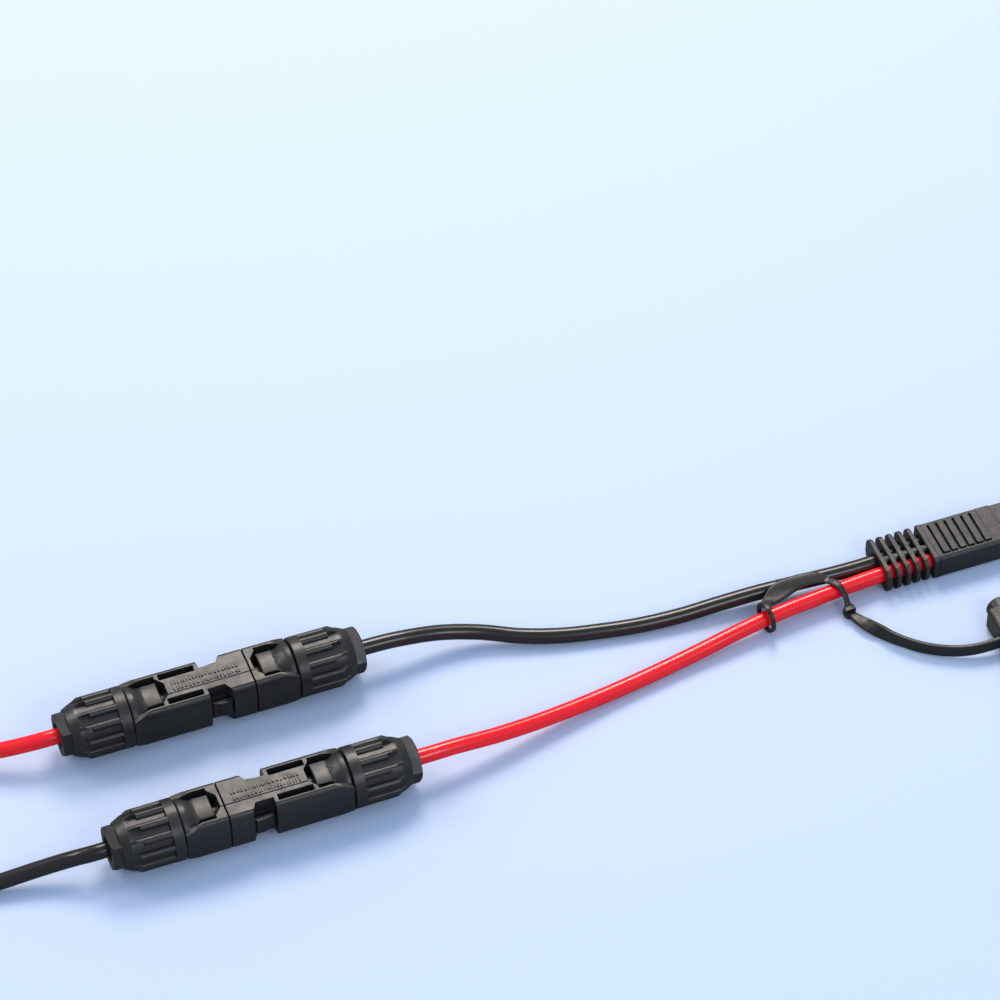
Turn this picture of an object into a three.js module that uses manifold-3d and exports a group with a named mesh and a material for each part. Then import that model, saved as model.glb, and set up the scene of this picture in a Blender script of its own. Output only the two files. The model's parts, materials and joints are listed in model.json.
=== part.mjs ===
// Two-pole adapter harness for solar panels: two mated single-pole cable
// connectors on the panel side, two insulated leads, and a flat two-pole
// polarised plug with a slotted strain relief, a rubber tether and a dust cap.
// Millimetres, +Z up. The origin is the centre of the plug's underside, +X is
// the way the plug points, and everything lies on the plane z = 0.
import * as THREE from "three";
import { mergeVertices } from "three/addons/utils/BufferGeometryUtils.js";
import Module from "manifold-3d";

const wasm = await Module();
wasm.setup();

// ------------------------------------------------------------------ helpers
const CLEAR = 20; // reaches past the outside of any connector part
const SIDES = [1, -1]; // the + and - side of a mirror plane

// Welds a geometry, drops its collapsed triangles and turns it right side out.
function toSolid(geometry) {
  const loose = geometry.index ? geometry.toNonIndexed() : geometry;
  loose.deleteAttribute("normal");
  loose.deleteAttribute("uv");
  const welded = mergeVertices(loose, 1e-4);
  const index = welded.index.array;
  const positions = welded.attributes.position;
  const corner = (i) => new THREE.Vector3().fromBufferAttribute(positions, i);
  const triangles = [];
  let volume = 0;
  for (let i = 0; i < index.length; i += 3) {
    const [a, b, c] = [index[i], index[i + 1], index[i + 2]];
    if (a === b || b === c || a === c) continue;
    triangles.push(a, b, c);
    volume += corner(a).dot(corner(b).cross(corner(c)));
  }
  if (volume < 0) triangles.reverse();
  return new wasm.Manifold(
    new wasm.Mesh({
      numProp: 3,
      vertProperties: new Float32Array(positions.array),
      triVerts: new Uint32Array(triangles),
    }),
  );
}

function toGeometry(solid) {
  const mesh = solid.getMesh();
  const geometry = new THREE.BufferGeometry();
  geometry.setAttribute("position", new THREE.BufferAttribute(mesh.vertProperties, 3));
  geometry.setIndex(new THREE.BufferAttribute(mesh.triVerts, 1));
  geometry.computeVertexNormals();
  return geometry;
}

const unite = (...solids) => solids.reduce((sum, solid) => sum.add(solid));
const cut = (body, ...cutters) => cutters.reduce((rest, cutter) => rest.subtract(cutter), body);
const turnHalf = (solid) => solid.rotate([0, 0, 180]);

// The range from inner to outer, on the given side of zero.
const span = (inner, outer, side) => (side > 0 ? [inner, outer] : [-outer, -inner]);

// An (x, y) outline, on the given side of y = 0.
const onSide = (outline, side) =>
  side > 0 ? outline : outline.map(([x, y]) => [x, -y]).reverse();

function box(x0, x1, y0, y1, z0, z1) {
  const geometry = new THREE.BoxGeometry(x1 - x0, y1 - y0, z1 - z0);
  geometry.translate((x0 + x1) / 2, (y0 + y1) / 2, (z0 + z1) / 2);
  return toSolid(geometry);
}

// A solid of revolution about X; the profile is a list of [x, radius].
function turned(profile, sides) {
  const points = profile.map(([x, radius]) => new THREE.Vector2(radius, x));
  const geometry = new THREE.LatheGeometry(points, sides);
  geometry.rotateZ(-Math.PI / 2);
  return toSolid(geometry);
}

const cylinder = (x0, x1, radius, sides) =>
  turned([[x0, 0], [x0, radius], [x1, radius], [x1, 0]], sides);

const ring = (x0, x1, rIn, rOut, sides) =>
  turned([[x0, rIn], [x0, rOut], [x1, rOut], [x1, rIn], [x0, rIn]], sides);

const circle = (radius, sides, turn = 0) =>
  Array.from({ length: sides }, (_, i) => {
    const angle = (2 * Math.PI * i) / sides + turn;
    return [radius * Math.cos(angle), radius * Math.sin(angle)];
  });

// A rectangle with its four corners cut at 45 degrees.
const chamfered = (left, right, low, high, chamfer) => [
  [left + chamfer, low],
  [right - chamfer, low],
  [right, low + chamfer],
  [right, high - chamfer],
  [right - chamfer, high],
  [left + chamfer, high],
  [left, high - chamfer],
  [left, low + chamfer],
];

function extrude(outline, holes, options) {
  const vectors = (points) => points.map(([a, b]) => new THREE.Vector2(a, b));
  const shape = new THREE.Shape(vectors(outline));
  shape.holes = holes.map((hole) => new THREE.Path(vectors(hole)));
  return new THREE.ExtrudeGeometry(shape, { ...options, bevelEnabled: false });
}

// Outline in (y, z), pulled along X.
function prismX(outline, x0, x1) {
  const geometry = extrude(outline, [], { depth: x1 - x0 });
  geometry.applyMatrix4(
    new THREE.Matrix4().makeBasis(
      new THREE.Vector3(0, 1, 0),
      new THREE.Vector3(0, 0, 1),
      new THREE.Vector3(1, 0, 0),
    ),
  );
  geometry.translate(x0, 0, 0);
  return toSolid(geometry);
}

// Outline in (x, z), pulled along Y.
function prismY(outline, y0, y1) {
  const geometry = extrude(outline, [], { depth: y1 - y0 });
  geometry.rotateX(Math.PI / 2);
  geometry.translate(0, y1, 0);
  return toSolid(geometry);
}

// Outline in (x, y), pulled along Z.
function prismZ(outline, z0, z1, holes = []) {
  const geometry = extrude(outline, holes, { depth: z1 - z0 });
  geometry.translate(0, 0, z0);
  return toSolid(geometry);
}

// A round tube, or a rod if rIn is 0, along a curve through the points.
function tube(points, rOut, rIn, steps, sides) {
  const curve = new THREE.CatmullRomCurve3(
    points.map((point) => new THREE.Vector3(...point)),
    false,
    "centripetal",
  );
  const holes = rIn > 0 ? [circle(rIn, sides)] : [];
  return toSolid(extrude(circle(rOut, sides), holes, { steps, extrudePath: curve }));
}

// A flat band along stations [x, y, z, width, thickness, roll], where the roll
// turns the width about the path: 0 lies flat, 90 stands on edge.
function band(stations) {
  const centres = stations.map(([x, y, z]) => new THREE.Vector3(x, y, z));
  const last = stations.length - 1;
  const corners = [];
  const triangles = [];
  stations.forEach(([, , , width, thickness, roll], i) => {
    const along = new THREE.Vector3()
      .subVectors(centres[Math.min(i + 1, last)], centres[Math.max(i - 1, 0)])
      .normalize();
    const level = new THREE.Vector3(0, 0, 1).cross(along).normalize();
    const up = new THREE.Vector3().crossVectors(along, level).normalize();
    const angle = (roll * Math.PI) / 180;
    const [cos, sin] = [Math.cos(angle), Math.sin(angle)];
    const across = level.clone().multiplyScalar(cos).addScaledVector(up, sin);
    const through = level.clone().multiplyScalar(-sin).addScaledVector(up, cos);
    for (const [u, v] of [[-1, -1], [1, -1], [1, 1], [-1, 1]]) {
      const corner = centres[i]
        .clone()
        .addScaledVector(across, (u * width) / 2)
        .addScaledVector(through, (v * thickness) / 2);
      corners.push(...corner.toArray());
    }
    if (i === 0) return;
    for (let k = 0; k < 4; k++) {
      const next = (k + 1) % 4;
      const [a0, a1] = [4 * (i - 1) + k, 4 * (i - 1) + next];
      const [b0, b1] = [4 * i + k, 4 * i + next];
      triangles.push(a0, a1, b1, a0, b1, b0);
    }
  });
  const end = 4 * last;
  triangles.push(0, 2, 1, 0, 3, 2);
  triangles.push(end, end + 1, end + 2, end, end + 2, end + 3);
  const geometry = new THREE.BufferGeometry();
  geometry.setAttribute("position", new THREE.Float32BufferAttribute(corners, 3));
  geometry.setIndex(triangles);
  return toSolid(geometry);
}

// ---------------------------------------------------------------- materials
const MATERIAL = {
  housing: { color: 0x33332f, roughness: 0.55, metalness: 0 },
  nut: { color: 0x2b2b28, roughness: 0.6, metalness: 0 },
  rubber: { color: 0x1c1b1a, roughness: 0.75, metalness: 0 },
  collet: { color: 0x4a4a46, roughness: 0.5, metalness: 0 },
  seal: { color: 0x202020, roughness: 0.85, metalness: 0 },
  tin: { color: 0xc4c6c4, roughness: 0.28, metalness: 1 },
  copper: { color: 0xb8754a, roughness: 0.35, metalness: 1 },
  red: { color: 0xe6172c, roughness: 0.32, metalness: 0 },
  black: { color: 0x232322, roughness: 0.35, metalness: 0 },
  plug: { color: 0x35342f, roughness: 0.65, metalness: 0 },
};

const root = new THREE.Group();

function add(group, name, solid, look) {
  const material = new THREE.MeshStandardMaterial(MATERIAL[look]);
  const mesh = new THREE.Mesh(toGeometry(solid), material);
  mesh.name = name;
  group.add(mesh);
}

// ------------------------------------------------------- connector housings
// Measured along the connector's axis from its mating seam (x = 0); y and z
// are measured from the axis.
const LONG_END = -39.5; // nut seam of the long, pin-side housing
const SHORT_END = 14.0; // nut seam of the short, socket-side housing
const SEAM_GAP = 0.2; // each housing face stands this far from the seam
const DECK = { z: 7.4, halfY: 6.5 }; // flat decks above and below the axis
const SIDE_Y = 8.8; // half width of the housing
const STRIP = { halfY: 2.4, h: 0.3 }; // raised centre strip on each deck

// Measured inward from the nut seam.
const NECK = { r: 6.9, from: 10.5, flare: 5.9, coreR: 5.4, collarR: 8.9, collar: 1.2 };
const RECESS = { centre: 12.7, side: 10.5, halfY: 6.1, flatY: 2.4, diagY: 5.0 };
const RAMP = { length: 5.9, drop: 2.4, past: 1, slope: 2.4 / 6.9 };
const SLOT = { from: 5.9, to: 10.4, y0: 4.9, floor: 2.0 }; // beside the throat

// Cuts in the long housing.
const POCKET = { x0: -27.6, x1: -16.2, y0: 4.0, y1: 6.2, floor: 1.5 };
const NOTCH = { x0: -14.8, x1in: -9.2, x1out: -7.5, y0: 4.6, y1: 7.6 };
const TUNNEL = { x0: -10.5, y0: 5.75, y1: 7.8, z: 3.3 };
const CAVITY = { x: -24.0, r: 4.7 }; // takes the probe
const CAVITY_WALL = { x: -30, r: 5.45 }; // stays whole round the cavity
const MOUTH = { x: -2.7, r: 6.15 };
const BORE_R = 3.5; // contact bore

const PROBE = { x: -23.0, r: 4.35, tipR: 3.95, taper: 0.8 };
const ARM_SLOT = { y0: 6.2, y1: 7.9, past: 0.4 }; // round the root of a latch arm
const ARM = { root: 1.2, tip: -14.2, y0: 6.5, y1: 7.5, barb: 8.45, z: 3.0 };

// Measured outward from the nut seam.
const SPIGOT = { len: 11.0, rOut: 7.35, rEnd: 6.9, bevel: 0.5, rIn: 6.0, from: 2.5 };

// Right half of the housing's section, top to bottom: [y, z].
const HALF_SECTION = [
  [DECK.halfY, DECK.z],
  [7.6, 6.75],
  [8.4, 4.9],
  [SIDE_Y, 1.2],
  [SIDE_Y, -1.2],
  [8.4, -4.9],
  [7.6, -6.75],
  [DECK.halfY, -DECK.z],
];
const SECTION = [...HALF_SECTION].reverse().concat(HALF_SECTION.map(([y, z]) => [-y, z]));
// Upper edge of the arched block over the throat: [y, z].
const ARCH = [[-4.9, 6.35], [-3.3, 6.7], [-1.6, 6.95], [1.6, 6.95], [3.3, 6.7], [4.9, 6.35]];

// Octagonal recess, open towards the nut.
function recessCutter(end) {
  const centre = end - RECESS.centre;
  const side = end - RECESS.side;
  const outline = [
    [end + 1, -RECESS.halfY],
    [end + 1, RECESS.halfY],
    [side, RECESS.halfY],
    [side, RECESS.diagY],
    [centre, RECESS.flatY],
    [centre, -RECESS.flatY],
    [side, -RECESS.diagY],
    [side, -RECESS.halfY],
  ];
  return prismZ(outline, -CLEAR, CLEAR);
}

// Slopes the side walls down towards the nut.
function rampCutter(end, side) {
  const start = end - RAMP.length;
  const outline = [
    [start, side * DECK.z],
    [end + RAMP.past, side * (DECK.z - RAMP.drop)],
    [end + RAMP.past, side * CLEAR],
    [start, side * CLEAR],
  ];
  return prismY(outline, -CLEAR, CLEAR);
}

// Round throat that flares to the nut.
function throat(end) {
  const profile = [
    [end - RECESS.centre - 0.5, 0],
    [end - RECESS.centre - 0.5, NECK.coreR],
    [end - NECK.from, NECK.coreR],
    [end - NECK.from, NECK.r],
    [end - NECK.flare, NECK.r],
    [end - NECK.collar, NECK.collarR],
    [end, NECK.collarR],
    [end, 0],
  ];
  return turned(profile, 20);
}

// Outside of a housing from its face near the seam to the nut seam at x = end,
// for an end at +x.
function housingEnd(end) {
  const wall = prismX(SECTION, SEAM_GAP, end);
  const archOutline = ARCH.map(([y, z]) => [y, -z]).concat([...ARCH].reverse());
  const arch = prismX(archOutline, end - NECK.from, end);
  const slots = SIDES.flatMap((sideY) =>
    SIDES.map((sideZ) =>
      box(
        end - SLOT.to,
        end - SLOT.from,
        ...span(SLOT.y0, RECESS.halfY, sideY),
        ...span(SLOT.floor, CLEAR, sideZ),
      ),
    ),
  );
  const block = cut(wall, recessCutter(end), rampCutter(end, 1), rampCutter(end, -1));
  return cut(unite(block, throat(end), arch), ...slots);
}

const strip = (x0, x1) =>
  box(x0, x1, -STRIP.halfY, STRIP.halfY, -DECK.z - STRIP.h, DECK.z + STRIP.h);

// Spigot at the thread's outer radius; x grows outward from the nut seam.
function spigot() {
  const profile = [
    [-1.0, 0],
    [-1.0, SPIGOT.rOut],
    [SPIGOT.len - SPIGOT.bevel, SPIGOT.rOut],
    [SPIGOT.len, SPIGOT.rEnd],
    [SPIGOT.len, 0],
  ];
  return turned(profile, 20);
}

function pinHousing() {
  const body = unite(
    turnHalf(housingEnd(-LONG_END)),
    strip(LONG_END + RECESS.centre, -SEAM_GAP),
    turnHalf(spigot()).translate([LONG_END, 0, 0]),
  );
  const keep = cylinder(CAVITY_WALL.x, 1, CAVITY_WALL.r, 20);
  const notch = [
    [NOTCH.x0, NOTCH.y0],
    [NOTCH.x1in, NOTCH.y0],
    [NOTCH.x1out, NOTCH.y1],
    [NOTCH.x1out, CLEAR],
    [NOTCH.x0, CLEAR],
  ];
  const cutters = [];
  for (const side of SIDES) {
    const pocketY = span(POCKET.y0, POCKET.y1, side);
    for (const sideZ of SIDES) {
      const pocketZ = span(POCKET.floor, CLEAR, sideZ);
      cutters.push(box(POCKET.x0, POCKET.x1, ...pocketY, ...pocketZ).subtract(keep));
    }
    cutters.push(prismZ(onSide(notch, side), -CLEAR, CLEAR).subtract(keep));
    const tunnelY = span(TUNNEL.y0, TUNNEL.y1, side);
    cutters.push(box(TUNNEL.x0, 1, ...tunnelY, -TUNNEL.z, TUNNEL.z));
  }
  return cut(
    body,
    ...cutters,
    cylinder(CAVITY.x, 1, CAVITY.r, 20),
    cylinder(MOUTH.x, 1, MOUTH.r, 20),
    cylinder(LONG_END - CLEAR, CAVITY.x + 1, BORE_R, 16),
    cylinder(LONG_END - CLEAR, LONG_END - SPIGOT.from, SPIGOT.rIn, 16),
  );
}

function socketHousing() {
  const probe = [
    [PROBE.x, 0],
    [PROBE.x, PROBE.tipR],
    [PROBE.x + PROBE.taper, PROBE.r],
    [1, PROBE.r],
    [1, 0],
  ];
  const armSlots = SIDES.map((side) => {
    const slotY = span(ARM_SLOT.y0, ARM_SLOT.y1, side);
    return box(-1, ARM.root + ARM_SLOT.past, ...slotY, -TUNNEL.z, TUNNEL.z);
  });
  return cut(
    unite(
      housingEnd(SHORT_END),
      strip(SEAM_GAP, SHORT_END - RECESS.centre),
      spigot().translate([SHORT_END, 0, 0]),
      turned(probe, 20),
    ),
    ...armSlots,
    cylinder(PROBE.x - 1, SHORT_END + CLEAR, BORE_R, 16),
    cylinder(SHORT_END + SPIGOT.from, SHORT_END + CLEAR, SPIGOT.rIn, 16),
  );
}

// Arm with a barb on its outer face, on the given side of the axis.
function latchArm(side) {
  const outline = [
    [ARM.root, ARM.y0],
    [ARM.root, ARM.y1],
    [-8.1, ARM.y1],
    [-8.1, 8.25],
    [-8.5, ARM.barb],
    [-10.6, ARM.barb],
    [-13.4, 7.9],
    [ARM.tip, 7.3],
    [ARM.tip, 6.85],
    [-13.7, ARM.y0],
  ];
  return prismZ(onSide(outline, side), -ARM.z, ARM.z);
}

// ------------------------------------------------------------- gland pieces
// Measured outward from the nut seam.
const NUT = {
  from: 0.3,
  collar: 3.8, // x where each stretch ends: collar, ribs, dome, hexagon
  ribs: 15.1,
  dome: 19.3,
  end: 22.5,
  r: 9.75,
  bevel: 0.3,
  rib: 9.66, // radius over the ribs
  flute: 8.95, // radius between the ribs
  domeBaseR: 8.85,
  domeR: 7.35,
  flats: 13.0, // hexagon across flats
  hexTurn: 46, // degrees
  bore: 7.8,
  hole: 4.1,
  count: 12, // ribs
  lap: 0.1, // each stretch starts this far inside the one before
};
const SEAL = { from: 3.0, to: 9.6, rIn: 2.85, rOut: 5.65 };
const COLLET = {
  from: 9.9,
  flange: 11.3,
  petals: 12.4,
  end: 17.5,
  rIn: 2.9,
  r: 5.55,
  flangeR: 7.0,
  slots: 6,
  slotHalf: 0.4,
};

function ribbedOutline() {
  // One rib pitch: [radius, fraction of the pitch].
  const onePitch = [[NUT.flute, -0.25], [NUT.flute, 0.25], [NUT.rib, 0.29], [NUT.rib, 0.71]];
  const pitch = (2 * Math.PI) / NUT.count;
  return Array.from({ length: NUT.count }, (_, i) =>
    onePitch.map(([radius, fraction]) => {
      const angle = (i + fraction) * pitch;
      return [radius * Math.cos(angle), radius * Math.sin(angle)];
    }),
  ).flat();
}

function nut() {
  const collar = [
    [NUT.from, 0],
    [NUT.from, NUT.r - NUT.bevel],
    [NUT.from + NUT.bevel, NUT.r],
    [NUT.collar, NUT.r],
    [NUT.collar, 0],
  ];
  const dome = [
    [NUT.ribs - NUT.lap, 0],
    [NUT.ribs - NUT.lap, NUT.domeBaseR],
    [NUT.ribs + 1.2, NUT.domeBaseR],
    [NUT.dome, NUT.domeR],
    [NUT.dome, 0],
  ];
  const hexagon = circle(NUT.flats / Math.sqrt(3), 6, (Math.PI / 180) * NUT.hexTurn);
  const bore = [
    [-1, 0],
    [-1, NUT.bore],
    [12.5, NUT.bore],
    [18.8, 4.5],
    [18.8, NUT.hole],
    [30, NUT.hole],
    [30, 0],
  ];
  return unite(
    turned(collar, 24),
    prismX(ribbedOutline(), NUT.collar - NUT.lap, NUT.ribs),
    turned(dome, 24),
    prismX(hexagon, NUT.dome - NUT.lap, NUT.end),
  ).subtract(turned(bore, 16));
}

const seal = () => ring(SEAL.from, SEAL.to, SEAL.rIn, SEAL.rOut, 16);

// Flanged sleeve with tapering petals.
function collet() {
  const profile = [
    [COLLET.from, COLLET.rIn],
    [COLLET.from, COLLET.r],
    [COLLET.flange, COLLET.r],
    [COLLET.flange, COLLET.flangeR],
    [COLLET.petals, COLLET.flangeR],
    [COLLET.petals + 0.2, 6.5],
    [COLLET.end, 4.4],
    [COLLET.end, COLLET.rIn],
    [COLLET.from, COLLET.rIn],
  ];
  // Each cutter passes right through and makes two opposite slots.
  const slots = Array.from({ length: COLLET.slots / 2 }, (_, i) =>
    box(
      COLLET.petals + 0.6,
      COLLET.end + 1,
      -9,
      9,
      -COLLET.slotHalf,
      COLLET.slotHalf,
    ).rotate([(360 / COLLET.slots) * i, 0, 0]),
  );
  return cut(turned(profile, 16), ...slots);
}

// ----------------------------------------------------------------- contacts
const PIN_CRIMP_END = -33.6;
const SOCKET_CRIMP_END = 9.6;
const CRIMP_R = 1.7; // bore of a crimp barrel

function pinContact() {
  const profile = [
    [PIN_CRIMP_END, 0],
    [PIN_CRIMP_END, 3.0],
    [-26.0, 3.0],
    [-25.7, 2.4],
    [-25.3, 2.4],
    [-25.3, 3.15],
    [-24.4, 3.15],
    [-24.4, 1.95],
    [-9.2, 1.95],
    [-8.0, 1.1],
    [-8.0, 0],
  ];
  return cut(turned(profile, 14), cylinder(-40, -26.5, CRIMP_R, 12));
}

function socketContact() {
  const profile = [
    [-21.5, 0],
    [-21.5, 2.75],
    [-21.0, 3.0],
    [-4.0, 3.0],
    [-3.6, 2.5],
    [-3.0, 2.5],
    [-3.0, 3.15],
    [-2.0, 3.15],
    [-2.0, 3.0],
    [SOCKET_CRIMP_END, 3.0],
    [SOCKET_CRIMP_END, 0],
  ];
  return cut(
    turned(profile, 14),
    cylinder(-30, -5.5, 2.35, 14), // takes the pin
    cylinder(2.6, 20, CRIMP_R, 12),
    box(-30, -12, -5, 5, -0.3, 0.3), // slit across the mouth
  );
}

// ----------------------------------------------------------- connector pairs
const AXIS_Z = NUT.r; // the nuts rest on the floor
const PAIR_A = { x: -242.5, y: 22.0, turn: 0 };
const PAIR_B = { x: -267.0, y: -25.5, turn: Math.PI };
const O_RING = { x: -1.35, r: 5.25, wireR: 0.5, sides: 6 };

function oRing() {
  const profile = [];
  for (let i = 0; i <= O_RING.sides; i++) {
    const angle = (2 * Math.PI * i) / O_RING.sides;
    profile.push([
      O_RING.x + O_RING.wireR * Math.cos(angle),
      O_RING.r + O_RING.wireR * Math.sin(angle),
    ]);
  }
  return turned(profile, 16);
}

function addPair(prefix, place) {
  const group = new THREE.Group();
  group.position.set(place.x, place.y, AXIS_Z);
  group.rotation.z = place.turn;
  root.add(group);
  const [longSide, shortSide] = place.turn === 0 ? ["panel", "adapter"] : ["adapter", "panel"];
  const addPart = (name, solid, look) => add(group, `${prefix}_${name}`, solid, look);
  addPart("pin_housing", pinHousing(), "housing");
  addPart("socket_housing", socketHousing(), "housing");
  addPart("latch_left", latchArm(1), "housing");
  addPart("latch_right", latchArm(-1), "housing");
  // Each gland piece shares its name with its material.
  for (const [name, build] of Object.entries({ nut, collet, seal })) {
    addPart(`${name}_${longSide}`, turnHalf(build()).translate([LONG_END, 0, 0]), name);
    addPart(`${name}_${shortSide}`, build().translate([SHORT_END, 0, 0]), name);
  }
  addPart("pin_contact", pinContact(), "tin");
  addPart("socket_contact", socketContact(), "tin");
  addPart("o_ring", oRing(), "seal");
}
addPair("a", PAIR_A);
addPair("b", PAIR_B);

// -------------------------------------------------------------------- leads
const JACKET = { r: 2.5, bore: 1.6 };
const CORE_R = 1.25;
const CRIMPED = 6.0; // conductor held in a crimp barrel
const STRIPPED = 5.0; // bare conductor at a free end
const JACKET_GAP = 0.8; // between a connector's crimp barrel and the jacket
const LONG_START = -PIN_CRIMP_END + JACKET_GAP;
const SHORT_START = SOCKET_CRIMP_END + JACKET_GAP;
const POLE_Y = 3.9; // each pole's distance from the plug's middle
const POLE_Z = 4.7;

// Stations on a connector's axis, at distances from its seam towards +X or -X.
const levelRun = (place, direction, distances) =>
  distances.map((distance) => [place.x + direction * distance, place.y, AXIS_Z]);

// Last two stations of a lead, inside the plug.
const plugRun = (y) => [[-20.5, y, POLE_Z], [-13.6, y, POLE_Z]];

// The point that lies a given reach beyond a path's end.
function beyond(end, neighbour, reach) {
  const tip = new THREE.Vector3(...end);
  const direction = tip.clone().sub(new THREE.Vector3(...neighbour)).normalize();
  return tip.addScaledVector(direction, reach).toArray();
}

// The jacket is an open sleeve round a conductor that reaches further at both
// ends; the path, a list of [x, y, z], starts in a connector's gland.
function addLead({ name, look, path, steps, endReach }) {
  const corePath = [
    beyond(path[0], path[1], CRIMPED),
    ...path,
    beyond(path.at(-1), path.at(-2), endReach),
  ];
  add(root, `${name}_jacket`, tube(path, JACKET.r, JACKET.bore, steps, 8), look);
  add(root, `${name}_conductor`, tube(corePath, CORE_R, 0, steps, 6), "copper");
}

addLead({
  name: "adapter_black",
  look: "black",
  path: [
    ...levelRun(PAIR_A, 1, [SHORT_START, 20, 30, 42]),
    [-192.7, 21.95, 9.2],
    [-179.5, 21.6, 7.0],
    [-167.1, 18.9, 5.0],
    [-155.5, 14.2, 3.5],
    [-143.5, 10.4, 2.8],
    [-130.9, 7.7, 2.6],
    [-118.3, 5.6, 2.6],
    [-105.0, 4.4, 3.0],
    [-91.4, 4.0, 3.8],
    [-78.1, 3.4, 4.5],
    [-64.6, 2.5, POLE_Z],
    [-51.3, 1.8, POLE_Z],
    [-41.4, 1.75, POLE_Z],
    [-34.0, 2.3, POLE_Z],
    [-27.0, 3.5, POLE_Z],
    ...plugRun(POLE_Y),
  ],
  steps: 27,
  endReach: CRIMPED,
});
addLead({
  name: "adapter_red",
  look: "red",
  path: [
    ...levelRun(PAIR_B, 1, [LONG_START, 45, 56, 66.5]),
    [-192.0, -24.9, 9.1],
    [-176.8, -23.6, 6.9],
    [-159.0, -21.0, 4.6],
    [-141.1, -17.9, 3.1],
    [-123.1, -14.8, 2.7],
    [-104.8, -11.6, 3.2],
    [-90.3, -9.2, 4.2],
    [-75.4, -7.0, POLE_Z],
    [-61.2, -5.5, POLE_Z],
    [-46.8, -4.2, POLE_Z],
    [-37.8, -3.75, POLE_Z],
    [-29.0, -3.85, POLE_Z],
    ...plugRun(-POLE_Y),
  ],
  steps: 27,
  endReach: CRIMPED,
});
addLead({
  name: "a_panel",
  look: "red",
  path: [
    ...levelRun(PAIR_A, -1, [LONG_START, 45, 56, 67]),
    [-317.0, 23.4, 8.4],
    [-327.0, 26.0, 6.4],
    [-338.0, 28.8, 4.4],
    [-352.0, 31.6, 2.6],
  ],
  steps: 12,
  endReach: STRIPPED,
});
addLead({
  name: "b_panel",
  look: "black",
  path: [
    ...levelRun(PAIR_B, -1, [SHORT_START, 20, 30, 42]),
    [-314.0, -24.0, 8.1],
    [-324.0, -22.4, 5.9],
    [-336.4, -21.3, 3.8],
    [-352.0, -20.4, 2.6],
  ],
  steps: 12,
  endReach: STRIPPED,
});

// --------------------------------------------------------------------- plug
const PLUG = { rear: -21.0, step: 3.2, shoulder: 8.5, tip: 21.0, halfY: 8.2, h: 9.5 };
const PLUG_CHAMFER = 0.7;
const PLUG_LAP = 0.5; // parts ahead of the step start this far inside the body
const FAR_HALF = { y: 7.9, z0: 0.5, z1: 9.15 }; // +Y shoulder, a step below the top
const SHROUD = { halfY: 3.4, z0: 1.2, z1: 8.2, chamfer: 1.6 }; // round the socket
const FLANGE = { halfY: 8.4, h: PLUG.h + 0.1, chamfer: 0.9, length: 1.4, lap: 0.1 };
const FIN = { first: -38.9, pitch: 3.27, count: 5, thick: 1.4 };
const RIB = { first: -17.5, pitch: 2.93, count: 6, width: 2.0, h: 0.5, y0: -6.1, y1: 6.5 };
const SPINE = { y0: -1.75, y1: -0.25, heights: [[7.7, 8.7], [0.6, 1.6]] }; // joins the fins
const CHANNEL = { half: 4.15, r: 2.95, arcSteps: 4 }; // takes both leads through the fins
const LEAD_BORE = { end: -13.0, r: 2.85 };
const PLUG_CONTACT = { rear: -12.4, crimpEnd: -5.5, crimpR: 1.65 };
// Outline of a strain-relief fin: [y, z].
const FIN_OUTLINE = [
  [-6.9, 0.1],
  [6.9, 0.1],
  [9.1, 2.6],
  [9.1, 6.8],
  [6.9, PLUG.h],
  [-6.9, PLUG.h],
  [-9.1, 6.8],
  [-9.1, 2.6],
];

// Two half circles, joined by straight edges.
function channelOutline() {
  const points = [];
  for (const side of SIDES)
    for (let i = 0; i <= CHANNEL.arcSteps; i++) {
      const angle = (-side * Math.PI) / 2 + (Math.PI * i) / CHANNEL.arcSteps;
      points.push([
        side * CHANNEL.half + CHANNEL.r * Math.cos(angle),
        POLE_Z + CHANNEL.r * Math.sin(angle),
      ]);
    }
  return points;
}

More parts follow.
